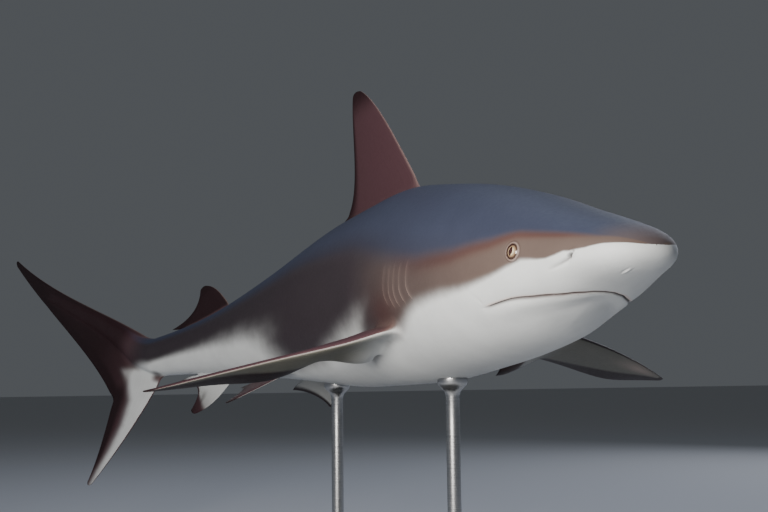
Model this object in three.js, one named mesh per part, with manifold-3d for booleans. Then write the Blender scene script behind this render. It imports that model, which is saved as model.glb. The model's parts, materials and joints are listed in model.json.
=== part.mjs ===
// A Caribbean reef shark as a life-size still model, turning gently as it swims, on a display stand.
// Millimetres. +X is the way the head points, +Y the animal's left and +Z up.
// The origin is on the floor, at the centre of the stand's base.
// Stations along the body are fractions of the total length, counted from the snout.

import * as THREE from 'three';
import { mergeVertices } from 'three/addons/utils/BufferGeometryUtils.js';
import Module from 'manifold-3d';

const wasm = await Module();
wasm.setup();

// Driving dimensions
const totalLength = 2100;
const snoutHeight = 520;
const snoutForward = 0.375 * totalLength;
const snoutLeft = 0.012 * totalLength;
const gap = 0.35;

// Where the body is divided
const headEnd = 0.228;
const trunkEnd = 0.56;
const stalkEnd = 0.735;

const { degToRad, lerp, smoothstep } = THREE.MathUtils;
const permille = totalLength / 1000;

// The swimming bend: each turn, in degrees, comes in smoothly between two stations.
const yawTurns = [
  { turn: -2.4, from: 0.05, to: 0.25 },
  { turn: 18.4, from: 0.2, to: 0.5 },
  { turn: 12, from: 0.48, to: 0.74 },
  { turn: 8, from: 0.7, to: 0.74 },
];
const pitchTurns = [{ turn: -6.8, from: 0.2, to: 0.5 }];
const rollTurns = [{ turn: -11, from: 0.36, to: 0.74 }];

// Half sizes of the body at key stations, all in thousandths of the total length:
// above the axis, below it and to each side.
const girths = [
  { at: 0, up: 0, down: 0, side: 0 },
  { at: 10, up: 10.9, down: 10.4, side: 21.4 },
  { at: 35, up: 20.6, down: 17.8, side: 35 },
  { at: 75, up: 33.5, down: 36, side: 47.2 },
  { at: 120, up: 48.7, down: 50, side: 56 },
  { at: 210, up: 69.7, down: 64.3, side: 66.4 },
  { at: 300, up: 79.8, down: 72.5, side: 68 },
  { at: 380, up: 76, down: 71, side: 63.3 },
  { at: 530, up: 52.5, down: 47.2, side: 41 },
  { at: 670, up: 29, down: 24.5, side: 21.5 },
  { at: 745, up: 21.5, down: 17.5, side: 16 },
];
const squareness = 2.15; // exponent of the superellipse that each cross section follows
const widestLevel = -0.04; // height of the widest level, as a share of the depth below the axis
const pointsAround = 32;

// The spine and the body's cross sections

function turned(turns, station) {
  return turns.reduce((sum, t) => sum + degToRad(t.turn) * smoothstep(station, t.from, t.to), 0);
}

function axesAt(station) {
  const pitch = turned(pitchTurns, station);
  const yaw = turned(yawTurns, station);
  const roll = turned(rollTurns, station);
  return new THREE.Matrix4().makeRotationFromEuler(new THREE.Euler(roll, pitch, yaw, 'ZYX'));
}

const spineSteps = 400;
const spine = [new THREE.Vector3()];
for (let i = 0; i < spineSteps; i++) {
  const forward = new THREE.Vector3().setFromMatrixColumn(axesAt((i + 0.5) / spineSteps), 0);
  spine.push(spine[i].clone().addScaledVector(forward, -totalLength / spineSteps));
}

// The frame of a station: its X axis points forward, Y left and Z up, with the spine as its origin.
function frameAt(station) {
  const along = station * spineSteps;
  const before = Math.floor(along);
  return axesAt(station).setPosition(spine[before].clone().lerp(spine[before + 1], along - before));
}

// A smooth curve through key values that never swings past them.
function smoothThrough(xs, ys) {
  const slopes = ys.slice(1).map((y, i) => (y - ys[i]) / (xs[i + 1] - xs[i]));
  const tangents = ys.map((y, i) => {
    const before = slopes[Math.max(i - 1, 0)];
    const after = slopes[Math.min(i, slopes.length - 1)];
    return before * after > 0 ? (2 * before * after) / (before + after) : 0;
  });
  return (x) => {
    const next = xs.findIndex((key, i) => i > 0 && x <= key);
    const i = (next < 0 ? xs.length - 1 : next) - 1;
    const width = xs[i + 1] - xs[i];
    const t = (x - xs[i]) / width;
    const rise = (3 - 2 * t) * t * t;
    const bulge = tangents[i] * (1 - t) * (1 - t) * t - tangents[i + 1] * (1 - t) * t * t;
    return lerp(ys[i], ys[i + 1], rise) + bulge * width;
  };
}

// The square root of the station as the variable gives the snout a round end.
const roots = girths.map((g) => Math.sqrt(g.at / 1000));
const upAt = smoothThrough(roots, girths.map((g) => g.up * permille));
const downAt = smoothThrough(roots, girths.map((g) => g.down * permille));
const sideAt = smoothThrough(roots, girths.map((g) => g.side * permille));

function signedPower(value, power) {
  return Math.sign(value) * Math.abs(value) ** power;
}

// A point of the skin. The angle is 0 on the left side, 90 on the back, 180 on the right, -90 below.
function skinPoint(station, angle, grow = 0) {
  const root = Math.sqrt(station);
  const down = downAt(root);
  const level = widestLevel * down;
  const across = Math.cos(degToRad(angle));
  const rise = Math.sin(degToRad(angle));
  const depth = rise > 0 ? upAt(root) - level : down + level;
  const y = (sideAt(root) + grow) * signedPower(across, 2 / squareness);
  const z = level + (depth + grow) * signedPower(rise, 2 / squareness);
  return new THREE.Vector3(0, y, z).applyMatrix4(frameAt(station));
}

// The same angle on the left side (1) or the right (-1)
function mirrored(angle, side) {
  return side > 0 ? angle : 180 - angle;
}

function skinNormal(station, angle) {
  const here = skinPoint(station, angle);
  const behind = skinPoint(station + 0.002, angle).sub(here);
  const around = skinPoint(station, angle + 1).sub(here);
  return behind.cross(around).normalize();
}

function ring(station, grow = 0) {
  const step = 360 / pointsAround;
  return Array.from({ length: pointsAround }, (_, i) => skinPoint(station, i * step, grow));
}

// Solids: closed triangle meshes, joined and cut with manifold-3d

function meshGeometry(points, triangles) {
  const geometry = new THREE.BufferGeometry().setFromPoints(points);
  geometry.setIndex(triangles.flat());
  return geometry;
}

function solidOf(geometry) {
  geometry.deleteAttribute('normal');
  geometry.deleteAttribute('uv');
  const merged = mergeVertices(geometry);
  const mesh = new wasm.Mesh({
    numProp: 3,
    vertProperties: new Float32Array(merged.attributes.position.array),
    triVerts: new Uint32Array(merged.index.array),
  });
  return new wasm.Manifold(mesh);
}

function geometryOf(solid) {
  const mesh = solid.getMesh();
  const geometry = new THREE.BufferGeometry();
  geometry.setAttribute('position', new THREE.BufferAttribute(mesh.vertProperties, 3));
  geometry.setIndex(new THREE.BufferAttribute(mesh.triVerts, 1));
  geometry.computeVertexNormals();
  return geometry;
}

// A closed solid through rings of equal length, with a fan of triangles over each end.
function loft(rings) {
  const count = rings[0].length;
  const last = rings.length - 1;
  const points = rings.flat();
  const middles = [rings[0], rings[last]].map((end) => {
    const sum = end.reduce((total, point) => total.add(point), new THREE.Vector3());
    return points.push(sum.divideScalar(count)) - 1;
  });
  const triangles = [];
  for (let i = 0; i < count; i++) {
    const next = (i + 1) % count;
    for (let row = 0; row < last; row++) {
      const a = row * count + i;
      const b = row * count + next;
      triangles.push([a, a + count, b], [b, a + count, b + count]);
    }
    triangles.push([middles[0], i, next]);
    triangles.push([middles[1], last * count + next, last * count + i]);
  }
  return solidOf(meshGeometry(points, triangles));
}

// A length of the body; rings are spaced evenly in the square root near the snout.
function bodyLength(from, to, count, grow = 0) {
  const rings = Array.from({ length: count + 1 }, (_, i) => {
    const root = lerp(Math.sqrt(from), Math.sqrt(to), i / count);
    return ring(root * root, grow);
  });
  return loft(rings);
}

const snoutStart = 0.0003;
const gapStation = gap / totalLength;
const headWhole = bodyLength(snoutStart, headEnd, 22);
const trunk = bodyLength(headEnd + gapStation, trunkEnd, 12);
const stalk = bodyLength(trunkEnd + gapStation, stalkEnd, 6);
const bodyWithGap = bodyLength(headEnd / 2, trunkEnd, 22, gap).add(
  bodyLength(trunkEnd - gapStation, stalkEnd + gapStation, 8, gap),
);

// The lower jaw: the part of the head inside an upright block whose front follows the mouth.

const mouth = { front: 0.0465, corner: 0.107, halfWidth: 0.0455, top: -0.012, throat: 0.15 };

function jawBlock(grow) {
  const front = -mouth.front * totalLength + grow;
  const corner = -mouth.corner * totalLength;
  const back = -mouth.throat * totalLength - grow;
  const half = mouth.halfWidth * totalLength + grow;
  const bend = (front - corner) * 0.45;
  const throatHalf = half * 0.7;
  const outline = new THREE.Shape();
  outline.moveTo(front, 0);
  outline.bezierCurveTo(front, half * 0.66, corner + bend, half * 0.9, corner, half);
  outline.lineTo(back, throatHalf);
  outline.lineTo(back, -throatHalf);
  outline.lineTo(corner, -half);
  outline.bezierCurveTo(corner + bend, -half * 0.9, front, -half * 0.66, front, 0);
  const depth = downAt(Math.sqrt(mouth.throat)) * 1.5;
  const block = new THREE.ExtrudeGeometry(outline, { depth, bevelEnabled: false, curveSegments: 9 });
  block.translate(0, 0, mouth.top * totalLength + grow - depth);
  return solidOf(block);
}

// Eyes: flattened balls set into the sides of the head

const eye = { station: 0.0759, angle: 8, radius: 11, thickness: 14, sink: 4.6 };

function eyePlace(side) {
  const angle = mirrored(eye.angle, side);
  const outward = skinNormal(eye.station, angle);
  const turn = new THREE.Quaternion().setFromUnitVectors(new THREE.Vector3(0, 0, 1), outward);
  const centre = skinPoint(eye.station, angle).addScaledVector(outward, -eye.sink);
  return new THREE.Matrix4().compose(centre, turn, new THREE.Vector3(1, 1, 1));
}

function eyeball(side, grow = 0) {
  const ball = new THREE.SphereGeometry(eye.radius + grow, 16, 8);
  ball.scale(1, 1, (eye.thickness / 2 + grow) / (eye.radius + grow));
  ball.applyMatrix4(eyePlace(side));
  return solidOf(ball);
}

// Nostrils and gill slits are shallow cuts in the skin.

const nostril = { station: 0.036, angle: -3.5, length: 13, width: 6, depth: 9 };
const gills = { count: 5, first: 0.183, pitch: 0.0092, angle: -3, height: 58, width: 1.6, depth: 5 };

function cutter(shape, station, angle, tilt) {
  const outward = skinNormal(station, angle);
  const up = new THREE.Vector3().setFromMatrixColumn(frameAt(station), 2);
  const along = up.cross(outward).normalize();
  const level = outward.clone().cross(along);
  const axes = new THREE.Matrix4().makeBasis(along, level, outward);
  axes.multiply(new THREE.Matrix4().makeRotationZ(tilt));
  shape.applyMatrix4(axes.setPosition(skinPoint(station, angle)));
  return solidOf(shape);
}

function nostrilCut(side) {
  const pit = new THREE.SphereGeometry(1, 8, 6);
  pit.scale(nostril.width / 2, nostril.length / 2, nostril.depth / 2);
  const angle = mirrored(nostril.angle, side);
  return cutter(pit, nostril.station, angle, degToRad(50) * side);
}

function gillCut(side, index) {
  const slit = new THREE.CylinderGeometry(gills.height / 2, gills.height / 2, gills.width, 16);
  slit.rotateZ(Math.PI / 2);
  slit.scale(1, 1, (2 * gills.depth) / gills.height);
  const angle = mirrored(gills.angle, side);
  const station = gills.first + gills.pitch * index;
  return cutter(slit, station, angle, degToRad(7) * side);
}

// Fins: a curved patch between four edges, thickened by an aerofoil section and cut clear of the body.
// Each fin's plane has X running tailward from its origin and Y outward, in thousandths of the
// total length. The inner edge starts inside the body and ends at the free rear tip.

const flat = ([x, y]) => new THREE.Vector2(x * permille, y * permille);

function aerofoil(t) {
  return 10 * (0.2969 * Math.sqrt(t) - 0.126 * t - 0.3516 * t ** 2 + 0.2843 * t ** 3 - 0.1036 * t ** 4);
}

function fin(frame, form) {
  const leading = new THREE.CubicBezierCurve(...form.leading.map(flat));
  const trailing = new THREE.CubicBezierCurve(...form.trailing.map(flat));
  const inner = new THREE.QuadraticBezierCurve(leading.v0, flat(form.inner), trailing.v0);
  const outer = new THREE.QuadraticBezierCurve(leading.v3, flat(form.apex), trailing.v3);
  const { columns, rows } = form.grid;
  const edge = form.edge ?? 1.2;
  const faces = [[], []];
  for (let row = 0; row <= rows; row++) {
    const v = row / rows;
    for (let column = 0; column <= columns; column++) {
      const u = (column / columns) ** 1.35;
      const across = leading.getPoint(v).lerp(trailing.getPoint(v), u);
      const along = inner.getPoint(u).lerp(outer.getPoint(u), v);
      const corners = leading.v0.clone().lerp(trailing.v0, u).lerp(
        leading.v3.clone().lerp(trailing.v3, u), v,
      );
      const flatPoint = across.add(along).sub(corners);
      const fade = Math.sqrt(smoothstep(v, 0, 0.15));
      const taper = lerp(form.thickness, form.tipThickness, v ** 0.8);
      const thickness = edge + taper * aerofoil(u) * fade * Math.sqrt(smoothstep(1 - v, -0.02, 0.2));
      const flex = form.flex ? form.flex(flatPoint.x / permille, flatPoint.y / permille) * permille : 0;
      for (const [index, sign] of [1, -1].entries()) {
        const point = new THREE.Vector3(flatPoint.x, flatPoint.y, flex + (sign * thickness) / 2);
        faces[index].push(point.applyMatrix4(frame));
      }
    }
  }
  return solidOf(slab(faces, columns, rows));
}

// Two matching grids of points, closed all round their edge.
function slab(faces, columns, rows) {
  const points = faces.flat();
  const under = faces[0].length;
  const at = (row, column) => row * (columns + 1) + column;
  const triangles = [];
  for (let row = 0; row < rows; row++) {
    for (let column = 0; column < columns; column++) {
      const [a, b] = [at(row, column), at(row, column + 1)];
      const [d, c] = [at(row + 1, column), at(row + 1, column + 1)];
      triangles.push([a, b, c], [a, c, d]);
      triangles.push([under + a, under + c, under + b], [under + a, under + d, under + c]);
    }
  }
  const border = [];
  for (let column = 0; column < columns; column++) border.push(at(0, column));
  for (let row = 0; row < rows; row++) border.push(at(row, columns));
  for (let column = columns; column > 0; column--) border.push(at(rows, column));
  for (let row = rows; row > 0; row--) border.push(at(row, 0));
  border.forEach((a, i) => {
    const b = border[(i + 1) % border.length];
    triangles.push([a, under + a, under + b], [a, under + b, b]);
  });
  return meshGeometry(points, triangles);
}

// The frame of a fin: X tailward, Y outward, Z across the blade. In the body's own axes, pitch lowers
// the rear edge and the outward direction lies at an angle round the body: 0 left, 90 up, -90 down.
function finFrame({ station, angle, ahead = 0, pitch = 0, outward }) {
  const back = new THREE.Vector3(-Math.cos(degToRad(pitch)), 0, -Math.sin(degToRad(pitch)));
  const out = new THREE.Vector3(0, Math.cos(degToRad(outward)), Math.sin(degToRad(outward)));
  const across = back.clone().cross(out).normalize();
  out.crossVectors(across, back);
  const frame = axesAt(station + ahead).multiply(new THREE.Matrix4().makeBasis(back, out, across));
  return frame.setPosition(skinPoint(station, angle));
}

const firstDorsalForm = {
  leading: [[-18, -24], [14, 12], [42, 84], [78, 105.5]],
  apex: [89, 109],
  trailing: [[143, -1], [98, 6], [106, 70], [93, 104]],
  inner: [104, -18],
  thickness: 15,
  tipThickness: 3,
  grid: { columns: 8, rows: 10 },
};

const secondDorsalForm = {
  leading: [[-18, -8], [2, 13], [16, 30], [33, 33]],
  apex: [40, 35],
  trailing: [[88, -6], [60, 0], [44, 10], [44, 30]],
  inner: [46, -12],
  thickness: 6,
  tipThickness: 2,
  grid: { columns: 6, rows: 5 },
};

const analForm = {
  leading: [[-14, -10], [6, 14], [28, 29], [53, 33]],
  apex: [61, 34.5],
  trailing: [[88, -3], [51, 0], [45, 10], [63, 29]],
  inner: [45, -12],
  thickness: 6,
  tipThickness: 2,
  grid: { columns: 6, rows: 6 },
};

const pelvicForm = {
  leading: [[-12, -12], [14, 12], [34, 28], [52, 38]],
  apex: [59, 41],
  trailing: [[81, 2], [62, 8], [57, 25], [62, 36]],
  inner: [52, -12],
  thickness: 8,
  tipThickness: 2,
  grid: { columns: 6, rows: 6 },
};

// A pectoral fin's blade reaches out at its own sweep. Its tip bends up, the rear of its inner half
// lifts and its rear lobe hangs down.
function pectoralForm({ sweep, tipRise, innerLift, lobe, lobeDroop }, side) {
  const reach = 208;
  const out = new THREE.Vector2(Math.sin(degToRad(sweep)), Math.cos(degToRad(sweep)));
  const back = new THREE.Vector2(out.y, -out.x);
  const place = (along, behind) => [along * out.x + behind * back.x, along * out.y + behind * back.y];
  return {
    leading: [[-14, -16], place(62, -16), place(140, -14), place(203, -4)],
    apex: place(210, 0),
    trailing: [[lobe, -1], place(60, 30), place(140, 52), place(203, 4)],
    inner: [46, -10],
    thickness: 25,
    tipThickness: 4,
    grid: { columns: 8, rows: 12 },
    flex: (x, y) => {
      const lift = innerLift * (x - y * Math.tan(degToRad(sweep))) * smoothstep(90 - y, 0, 90);
      const hang = lobeDroop * smoothstep(40 - y, 0, 40) * smoothstep(x, 20, lobe);
      return side * (hang - lift - tipRise * (y / reach) ** 2);
    },
  };
}

const upperLobeForm = {
  leading: [[-14, 12], [54, 60], [150, 90], [231, 155.5]],
  apex: [236, 157],
  trailing: [[56, -48], [61, -6], [148, 62], [232, 149]],
  inner: [20, -22],
  thickness: 12,
  tipThickness: 3,
  grid: { columns: 7, rows: 12 },
};

const lowerLobeForm = {
  leading: [[-24, 8], [-2, 42], [34, 86], [79, 126]],
  apex: [86, 129],
  trailing: [[60, 38], [54, 60], [69, 94], [85, 123]],
  inner: [20, 10],
  thickness: 12,
  tipThickness: 3,
  grid: { columns: 7, rows: 8 },
};

// The fleshy axis of the tail carries on into the upper lobe, getting thinner:
// each section is set back and raised from the tail's root, in thousandths of the total length.
const caudalStart = 0.7414;
const caudalAxis = [
  { back: 20, rise: 11, deep: 15.5, wide: 10 },
  { back: 46, rise: 30, deep: 12.5, wide: 6.5 },
  { back: 82, rise: 52, deep: 10, wide: 4.2 },
  { back: 125, rise: 75, deep: 7.5, wide: 2.8 },
  { back: 168, rise: 99, deep: 5.5, wide: 1.8 },
];

function caudalRing({ back, rise, deep, wide }, index) {
  const tilt = degToRad(Math.min(34, 17 * (index + 1)));
  return Array.from({ length: pointsAround }, (_, i) => {
    const angle = (i / pointsAround) * 2 * Math.PI;
    const high = Math.sin(angle) * deep;
    const x = high * Math.sin(tilt) - back;
    const point = new THREE.Vector3(x, Math.cos(angle) * wide, rise + high * Math.cos(tilt));
    return point.multiplyScalar(permille).applyMatrix4(frameAt(caudalStart));
  });
}

function caudalWhole() {
  const [upper, lower] = [90, -90].map((angle) => {
    const frame = finFrame({ station: caudalStart, angle, outward: angle });
    return frame.setPosition(new THREE.Vector3().setFromMatrixPosition(frameAt(caudalStart)));
  });
  const axis = loft([ring(stalkEnd + gapStation), ...caudalAxis.map(caudalRing)]);
  return fin(upper, upperLobeForm).add(fin(lower, lowerLobeForm)).add(axis).subtract(bodyWithGap);
}

// The two lobes part along a line from under the tail's root to the fork.
const lobeCut = { back: 58, rise: -46, slope: -22 };

function lobeSide(side) {
  const size = totalLength / 2;
  const half = new THREE.BoxGeometry(size, size, size);
  half.translate(0, 0, (side * (size + gap)) / 2);
  half.rotateY(degToRad(lobeCut.slope));
  half.translate(-lobeCut.back * permille, 0, lobeCut.rise * permille);
  half.applyMatrix4(frameAt(caudalStart));
  return solidOf(half);
}

// The display stand: a flat base and two steel rods that end in shallow cups under the belly

const base = { length: 1000, width: 460, thickness: 24 };
const rod = { radius: 11, flange: 34, flangeHeight: 6, cup: 24, cupHeight: 22, lip: 7 };
const rodStations = { front: 0.26, rear: 0.45 };

function standBase() {
  const straight = (base.length - base.width) / 2;
  const outline = new THREE.Shape();
  outline.absarc(straight, 0, base.width / 2, -Math.PI / 2, Math.PI / 2);
  outline.absarc(-straight, 0, base.width / 2, Math.PI / 2, (3 * Math.PI) / 2);
  return new THREE.ExtrudeGeometry(outline, {
    depth: base.thickness,
    bevelEnabled: false,
    curveSegments: 16,
  });
}

function standRod(station) {
  const belly = skinPoint(station, -90);
  const height = snoutHeight + belly.z - base.thickness - gap;
  const { radius, flange, flangeHeight, cup, cupHeight, lip } = rod;
  const profile = [
    [0, 0],
    [flange, 0],
    [flange, flangeHeight],
    [radius + 4, flangeHeight + 5],
    [radius, flangeHeight + 14],
    [radius, height - cupHeight],
    [cup, height - cupHeight / 3],
    [cup, height + lip],
    [0, height + lip],
  ].map(([x, y]) => new THREE.Vector2(x, y));
  const turned = new THREE.LatheGeometry(profile, 20);
  turned.rotateX(Math.PI / 2);
  turned.translate(belly.x, belly.y, belly.z - height);
  return solidOf(turned).subtract(bodyWithGap);
}

// Colours: grey-brown above, white below, dusky edges to the fins, pale gold eyes

const materials = {
  back: new THREE.MeshStandardMaterial({ color: '#75685f', roughness: 0.5 }),
  belly: new THREE.MeshStandardMaterial({ color: '#d9dad6', roughness: 0.5 }),
  fin: new THREE.MeshStandardMaterial({ color: '#63544c', roughness: 0.55 }),
  eye: new THREE.MeshStandardMaterial({ color: '#c9bf9b', roughness: 0.15 }),
  base: new THREE.MeshStandardMaterial({ color: '#2b2c2e', roughness: 0.6 }),
  rod: new THREE.MeshStandardMaterial({ color: '#a9adb0', roughness: 0.3, metalness: 1 }),
};

const animal = new THREE.Group();
animal.position.set(snoutForward, snoutLeft, snoutHeight);

function addSolid(name, solid, material) {
  const mesh = new THREE.Mesh(geometryOf(solid), material);
  mesh.name = name;
  animal.add(mesh);
}

const sides = [
  { name: 'left', side: 1 },
  { name: 'right', side: -1 },
];

const pectoralPoses = {
  left: { pitch: 14.5, droop: 3.8, sweep: 33, tipRise: 0, innerLift: 0.06, lobe: 86, lobeDroop: 21 },
  right: { pitch: 12, droop: 8.5, sweep: 41, tipRise: 13, innerLift: 0.12, lobe: 78, lobeDroop: 17 },
};
const pectoralRoot = { station: 0.2221, angle: -28 };
const pelvicRoot = { station: 0.48, angle: -57, ahead: 0.03, pitch: 3, droop: 32 };

function pairedFin({ station, angle, ahead, pitch, droop }, side, form) {
  const frame = finFrame({
    station,
    angle: mirrored(angle, side),
    ahead,
    pitch,
    outward: mirrored(-droop, side),
  });
  return fin(frame, form).subtract(bodyWithGap);
}

let head = headWhole.subtract(jawBlock(gap));
for (const { side } of sides) {
  head = head.subtract(eyeball(side, gap)).subtract(nostrilCut(side));
  for (let i = 0; i < gills.count; i++) head = head.subtract(gillCut(side, i));
}
addSolid('head', head, materials.back);
addSolid('lower_jaw', headWhole.intersect(jawBlock(0)), materials.belly);
addSolid('trunk', trunk, materials.back);
addSolid('tail_stalk', stalk, materials.back);
const caudal = caudalWhole();
addSolid('caudal_fin_upper_lobe', caudal.intersect(lobeSide(1)), materials.fin);
addSolid('caudal_fin_lower_lobe', caudal.intersect(lobeSide(-1)), materials.fin);

const midlineFins = {
  first_dorsal_fin: [{ station: 0.2995, angle: 90, outward: 95.75, ahead: 0.05 }, firstDorsalForm],
  second_dorsal_fin: [{ station: 0.629, angle: 90, outward: 90, ahead: 0.03 }, secondDorsalForm],
  anal_fin: [{ station: 0.613, angle: -90, outward: -90, ahead: 0.04 }, analForm],
};
for (const [name, [pose, form]] of Object.entries(midlineFins)) {
  addSolid(name, fin(finFrame(pose), form).subtract(bodyWithGap), materials.fin);
}

for (const { name, side } of sides) {
  const pose = pectoralPoses[name];
  const pectoral = pairedFin({ ...pectoralRoot, ...pose }, side, pectoralForm(pose, side));
  addSolid(`pectoral_fin_${name}`, pectoral, materials.fin);
  addSolid(`pelvic_fin_${name}`, pairedFin(pelvicRoot, side, pelvicForm), materials.fin);
  addSolid(`eye_${name}`, eyeball(side), materials.eye);
}

for (const [name, station] of Object.entries(rodStations)) {
  addSolid(`stand_rod_${name}`, standRod(station), materials.rod);
}

const baseMesh = new THREE.Mesh(standBase(), materials.base);
baseMesh.name = 'stand_base';

const model = new THREE.Group();
model.add(animal, baseMesh);

export default model;
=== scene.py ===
import json
import math
import bmesh
import bpy
import numpy as np
from mathutils import Matrix, Vector
from mathutils.bvhtree import BVHTree
from mathutils.kdtree import KDTree

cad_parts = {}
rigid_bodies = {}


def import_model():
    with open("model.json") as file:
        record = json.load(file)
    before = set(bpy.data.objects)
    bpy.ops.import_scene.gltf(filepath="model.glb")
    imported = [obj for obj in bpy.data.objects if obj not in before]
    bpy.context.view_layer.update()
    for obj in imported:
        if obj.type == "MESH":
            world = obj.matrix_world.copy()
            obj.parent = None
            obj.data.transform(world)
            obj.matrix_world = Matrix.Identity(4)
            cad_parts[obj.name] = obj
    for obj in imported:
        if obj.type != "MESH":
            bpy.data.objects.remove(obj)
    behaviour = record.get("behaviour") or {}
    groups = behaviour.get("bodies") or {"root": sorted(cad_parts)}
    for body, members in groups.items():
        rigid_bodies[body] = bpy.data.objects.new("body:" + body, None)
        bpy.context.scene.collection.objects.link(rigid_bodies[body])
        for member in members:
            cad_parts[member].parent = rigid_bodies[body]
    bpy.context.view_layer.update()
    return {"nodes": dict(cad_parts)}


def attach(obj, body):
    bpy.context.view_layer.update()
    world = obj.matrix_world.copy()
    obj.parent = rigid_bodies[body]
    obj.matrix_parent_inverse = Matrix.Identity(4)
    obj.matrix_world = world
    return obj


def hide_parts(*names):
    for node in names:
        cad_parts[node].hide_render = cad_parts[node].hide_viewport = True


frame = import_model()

# A Caribbean reef shark at life size, swimming in a gentle turn, on a display stand.
# Metres. +X is the way the head points, +Y the animal's left and +Z up.
# Stations are fractions of the total length from the snout. "Below" is an angle in degrees round
# the body, measured down from the side: -90 on the back, 0 at the side, 90 on the belly.

scene = bpy.context.scene
mm = 0.001

# Camera

outlook = {
    "place": (1.8352, -0.7631, 0.3736),
    "towards": (-0.9137, 0.3914, 0.1089),
    "roll": -0.617,  # degrees
    "lens": 52.63,
}


def makeCamera():
    forward = Vector(outlook["towards"]).normalized()
    right = forward.cross(Vector((0, 0, 1))).normalized()
    axes = Matrix((right, right.cross(forward), -forward)).transposed().to_4x4()
    lens = bpy.data.cameras.new("camera")
    lens.sensor_width = 36
    lens.lens = outlook["lens"]
    camera = bpy.data.objects.new("camera", lens)
    roll = Matrix.Rotation(math.radians(outlook["roll"]), 4, "Z")
    camera.matrix_world = Matrix.Translation(outlook["place"]) @ axes @ roll
    scene.collection.objects.link(camera)
    scene.camera = camera


makeCamera()
print("camera placed")

# The body's bend and its sections

shark = {
    "length": 2.1,
    "snout": (0.7875, 0.0252, 0.52),
    # each turn, in degrees, comes in smoothly between two stations
    "yaw": ((-2.4, 0.05, 0.25), (18.4, 0.2, 0.5), (12, 0.48, 0.74), (8, 0.7, 0.74)),
    "pitch": ((-6.8, 0.2, 0.5),),
    "roll": ((-11, 0.36, 0.74),),
    # station, up, down and side from the axis, all in thousandths of the length
    "girths": (
        (0, 0, 0, 0), (10, 10.9, 10.4, 21.4), (35, 20.6, 17.8, 35), (75, 33.5, 36, 47.2),
        (120, 48.7, 50, 56), (210, 69.7, 64.3, 66.4), (300, 79.8, 72.5, 68), (380, 76, 71, 63.3),
        (530, 52.5, 47.2, 41), (670, 29, 24.5, 21.5), (745, 21.5, 17.5, 16),
    ),
    "squareness": 2.15,  # exponent of each section's superellipse
    "widestLevel": -0.04,  # share of the depth below the axis
    "stalkEnd": 0.735,
}
length = shark["length"]
permille = length / 1000


def smoothstep(x, low, high):
    t = np.clip((np.asarray(x, float) - low) / (high - low), 0, 1)
    return t * t * (3 - 2 * t)


def bump(x, centre, width):
    return np.exp(-(((np.asarray(x, float) - centre) / width) ** 2))


def blend(a, b, t):
    return a + (b - a) * t


def unit(vectors):
    return vectors / np.maximum(np.linalg.norm(vectors, axis=-1, keepdims=True), 1e-12)


def turned(turns, station):
    return sum(math.radians(turn) * smoothstep(station, low, high) for turn, low, high in turns)


def axesAt(station):
    station = np.asarray(station, float)
    yaw, pitch, roll = (turned(shark[name], station) for name in ("yaw", "pitch", "roll"))
    cy, sy, cp, sp, cr, sr = (f(a) for a in (yaw, pitch, roll) for f in (np.cos, np.sin))
    rows = (
        (cy * cp, cy * sp * sr - sy * cr, cy * sp * cr + sy * sr),
        (sy * cp, sy * sp * sr + cy * cr, sy * sp * cr - cy * sr),
        (-sp, cp * sr, cp * cr),
    )
    return np.stack([np.stack(np.broadcast_arrays(*row), -1) for row in rows], -2)


spineSteps = 400
headings = axesAt((np.arange(spineSteps) + 0.5) / spineSteps)[:, :, 0]
spine = np.vstack([np.zeros(3), np.cumsum(-headings * length / spineSteps, axis=0)])
spine += np.array(shark["snout"])


def spineAt(station):
    along = np.asarray(station, float) * spineSteps
    before = np.minimum(along.astype(int), spineSteps - 1)
    return blend(spine[before], spine[before + 1], (along - before)[..., None])


def stretch(start, end, rise, fall, t, width):  # between two values, with the slope at each
    swell = rise * (1 - t) ** 2 * t - fall * (1 - t) * t * t
    return blend(start, end, (3 - 2 * t) * t * t) + swell * width


def smoothThrough(xs, ys):
    slopes = np.diff(ys) / np.diff(xs)
    before = np.concatenate([slopes[:1], slopes])
    after = np.concatenate([slopes, slopes[-1:]])
    both = before * after > 0
    tangents = np.where(both, 2 * before * after / np.where(both, before + after, 1), 0)

    def curve(x):
        i = np.clip(np.searchsorted(xs, x) - 1, 0, len(xs) - 2)
        width = xs[i + 1] - xs[i]
        return stretch(ys[i], ys[i + 1], tangents[i], tangents[i + 1], (x - xs[i]) / width, width)

    return curve


def girthCurve(column):
    # sampled against the root of the station, then rounded off where its slope changes
    keys = np.array(shark["girths"], float)
    roots = np.linspace(0, 0.88, 1761)
    sizes = smoothThrough(np.sqrt(keys[:, 0] / 1000), keys[:, column] * permille)(roots)
    spread = 70
    padded = np.concatenate([-sizes[spread:0:-1], sizes, np.full(spread, sizes[-1])])
    weights = bump(np.arange(-spread, spread + 1), 0, 28)
    sizes = np.convolve(padded, weights / weights.sum(), "valid")
    return lambda station: np.interp(np.sqrt(station), roots, sizes)


upAt, downAt, sideAt = (girthCurve(column) for column in (1, 2, 3))


def signedPower(value, power):
    return np.sign(value) * np.abs(value) ** power


# A point of the skin before the body is bent: x runs back from the snout as a negative number.
def straightSkin(station, angle):
    station, angle = np.broadcast_arrays(np.asarray(station, float), np.radians(angle))
    power = 2 / shark["squareness"]
    down = downAt(station)
    level = shark["widestLevel"] * down
    depth = np.where(np.sin(angle) > 0, upAt(station) - level, down + level)
    y = sideAt(station) * signedPower(np.cos(angle), power)
    z = level + depth * signedPower(np.sin(angle), power)
    return np.stack([-station * length, y, z], -1)


def straightNormal(station, angle):
    step = np.minimum(0.001, np.asarray(station) / 2)
    along = straightSkin(station + step, angle) - straightSkin(station - step, angle)
    angle = np.asarray(angle)
    around = straightSkin(station, angle + 0.5) - straightSkin(station, angle - 0.5)
    return unit(np.cross(along, around))


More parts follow.
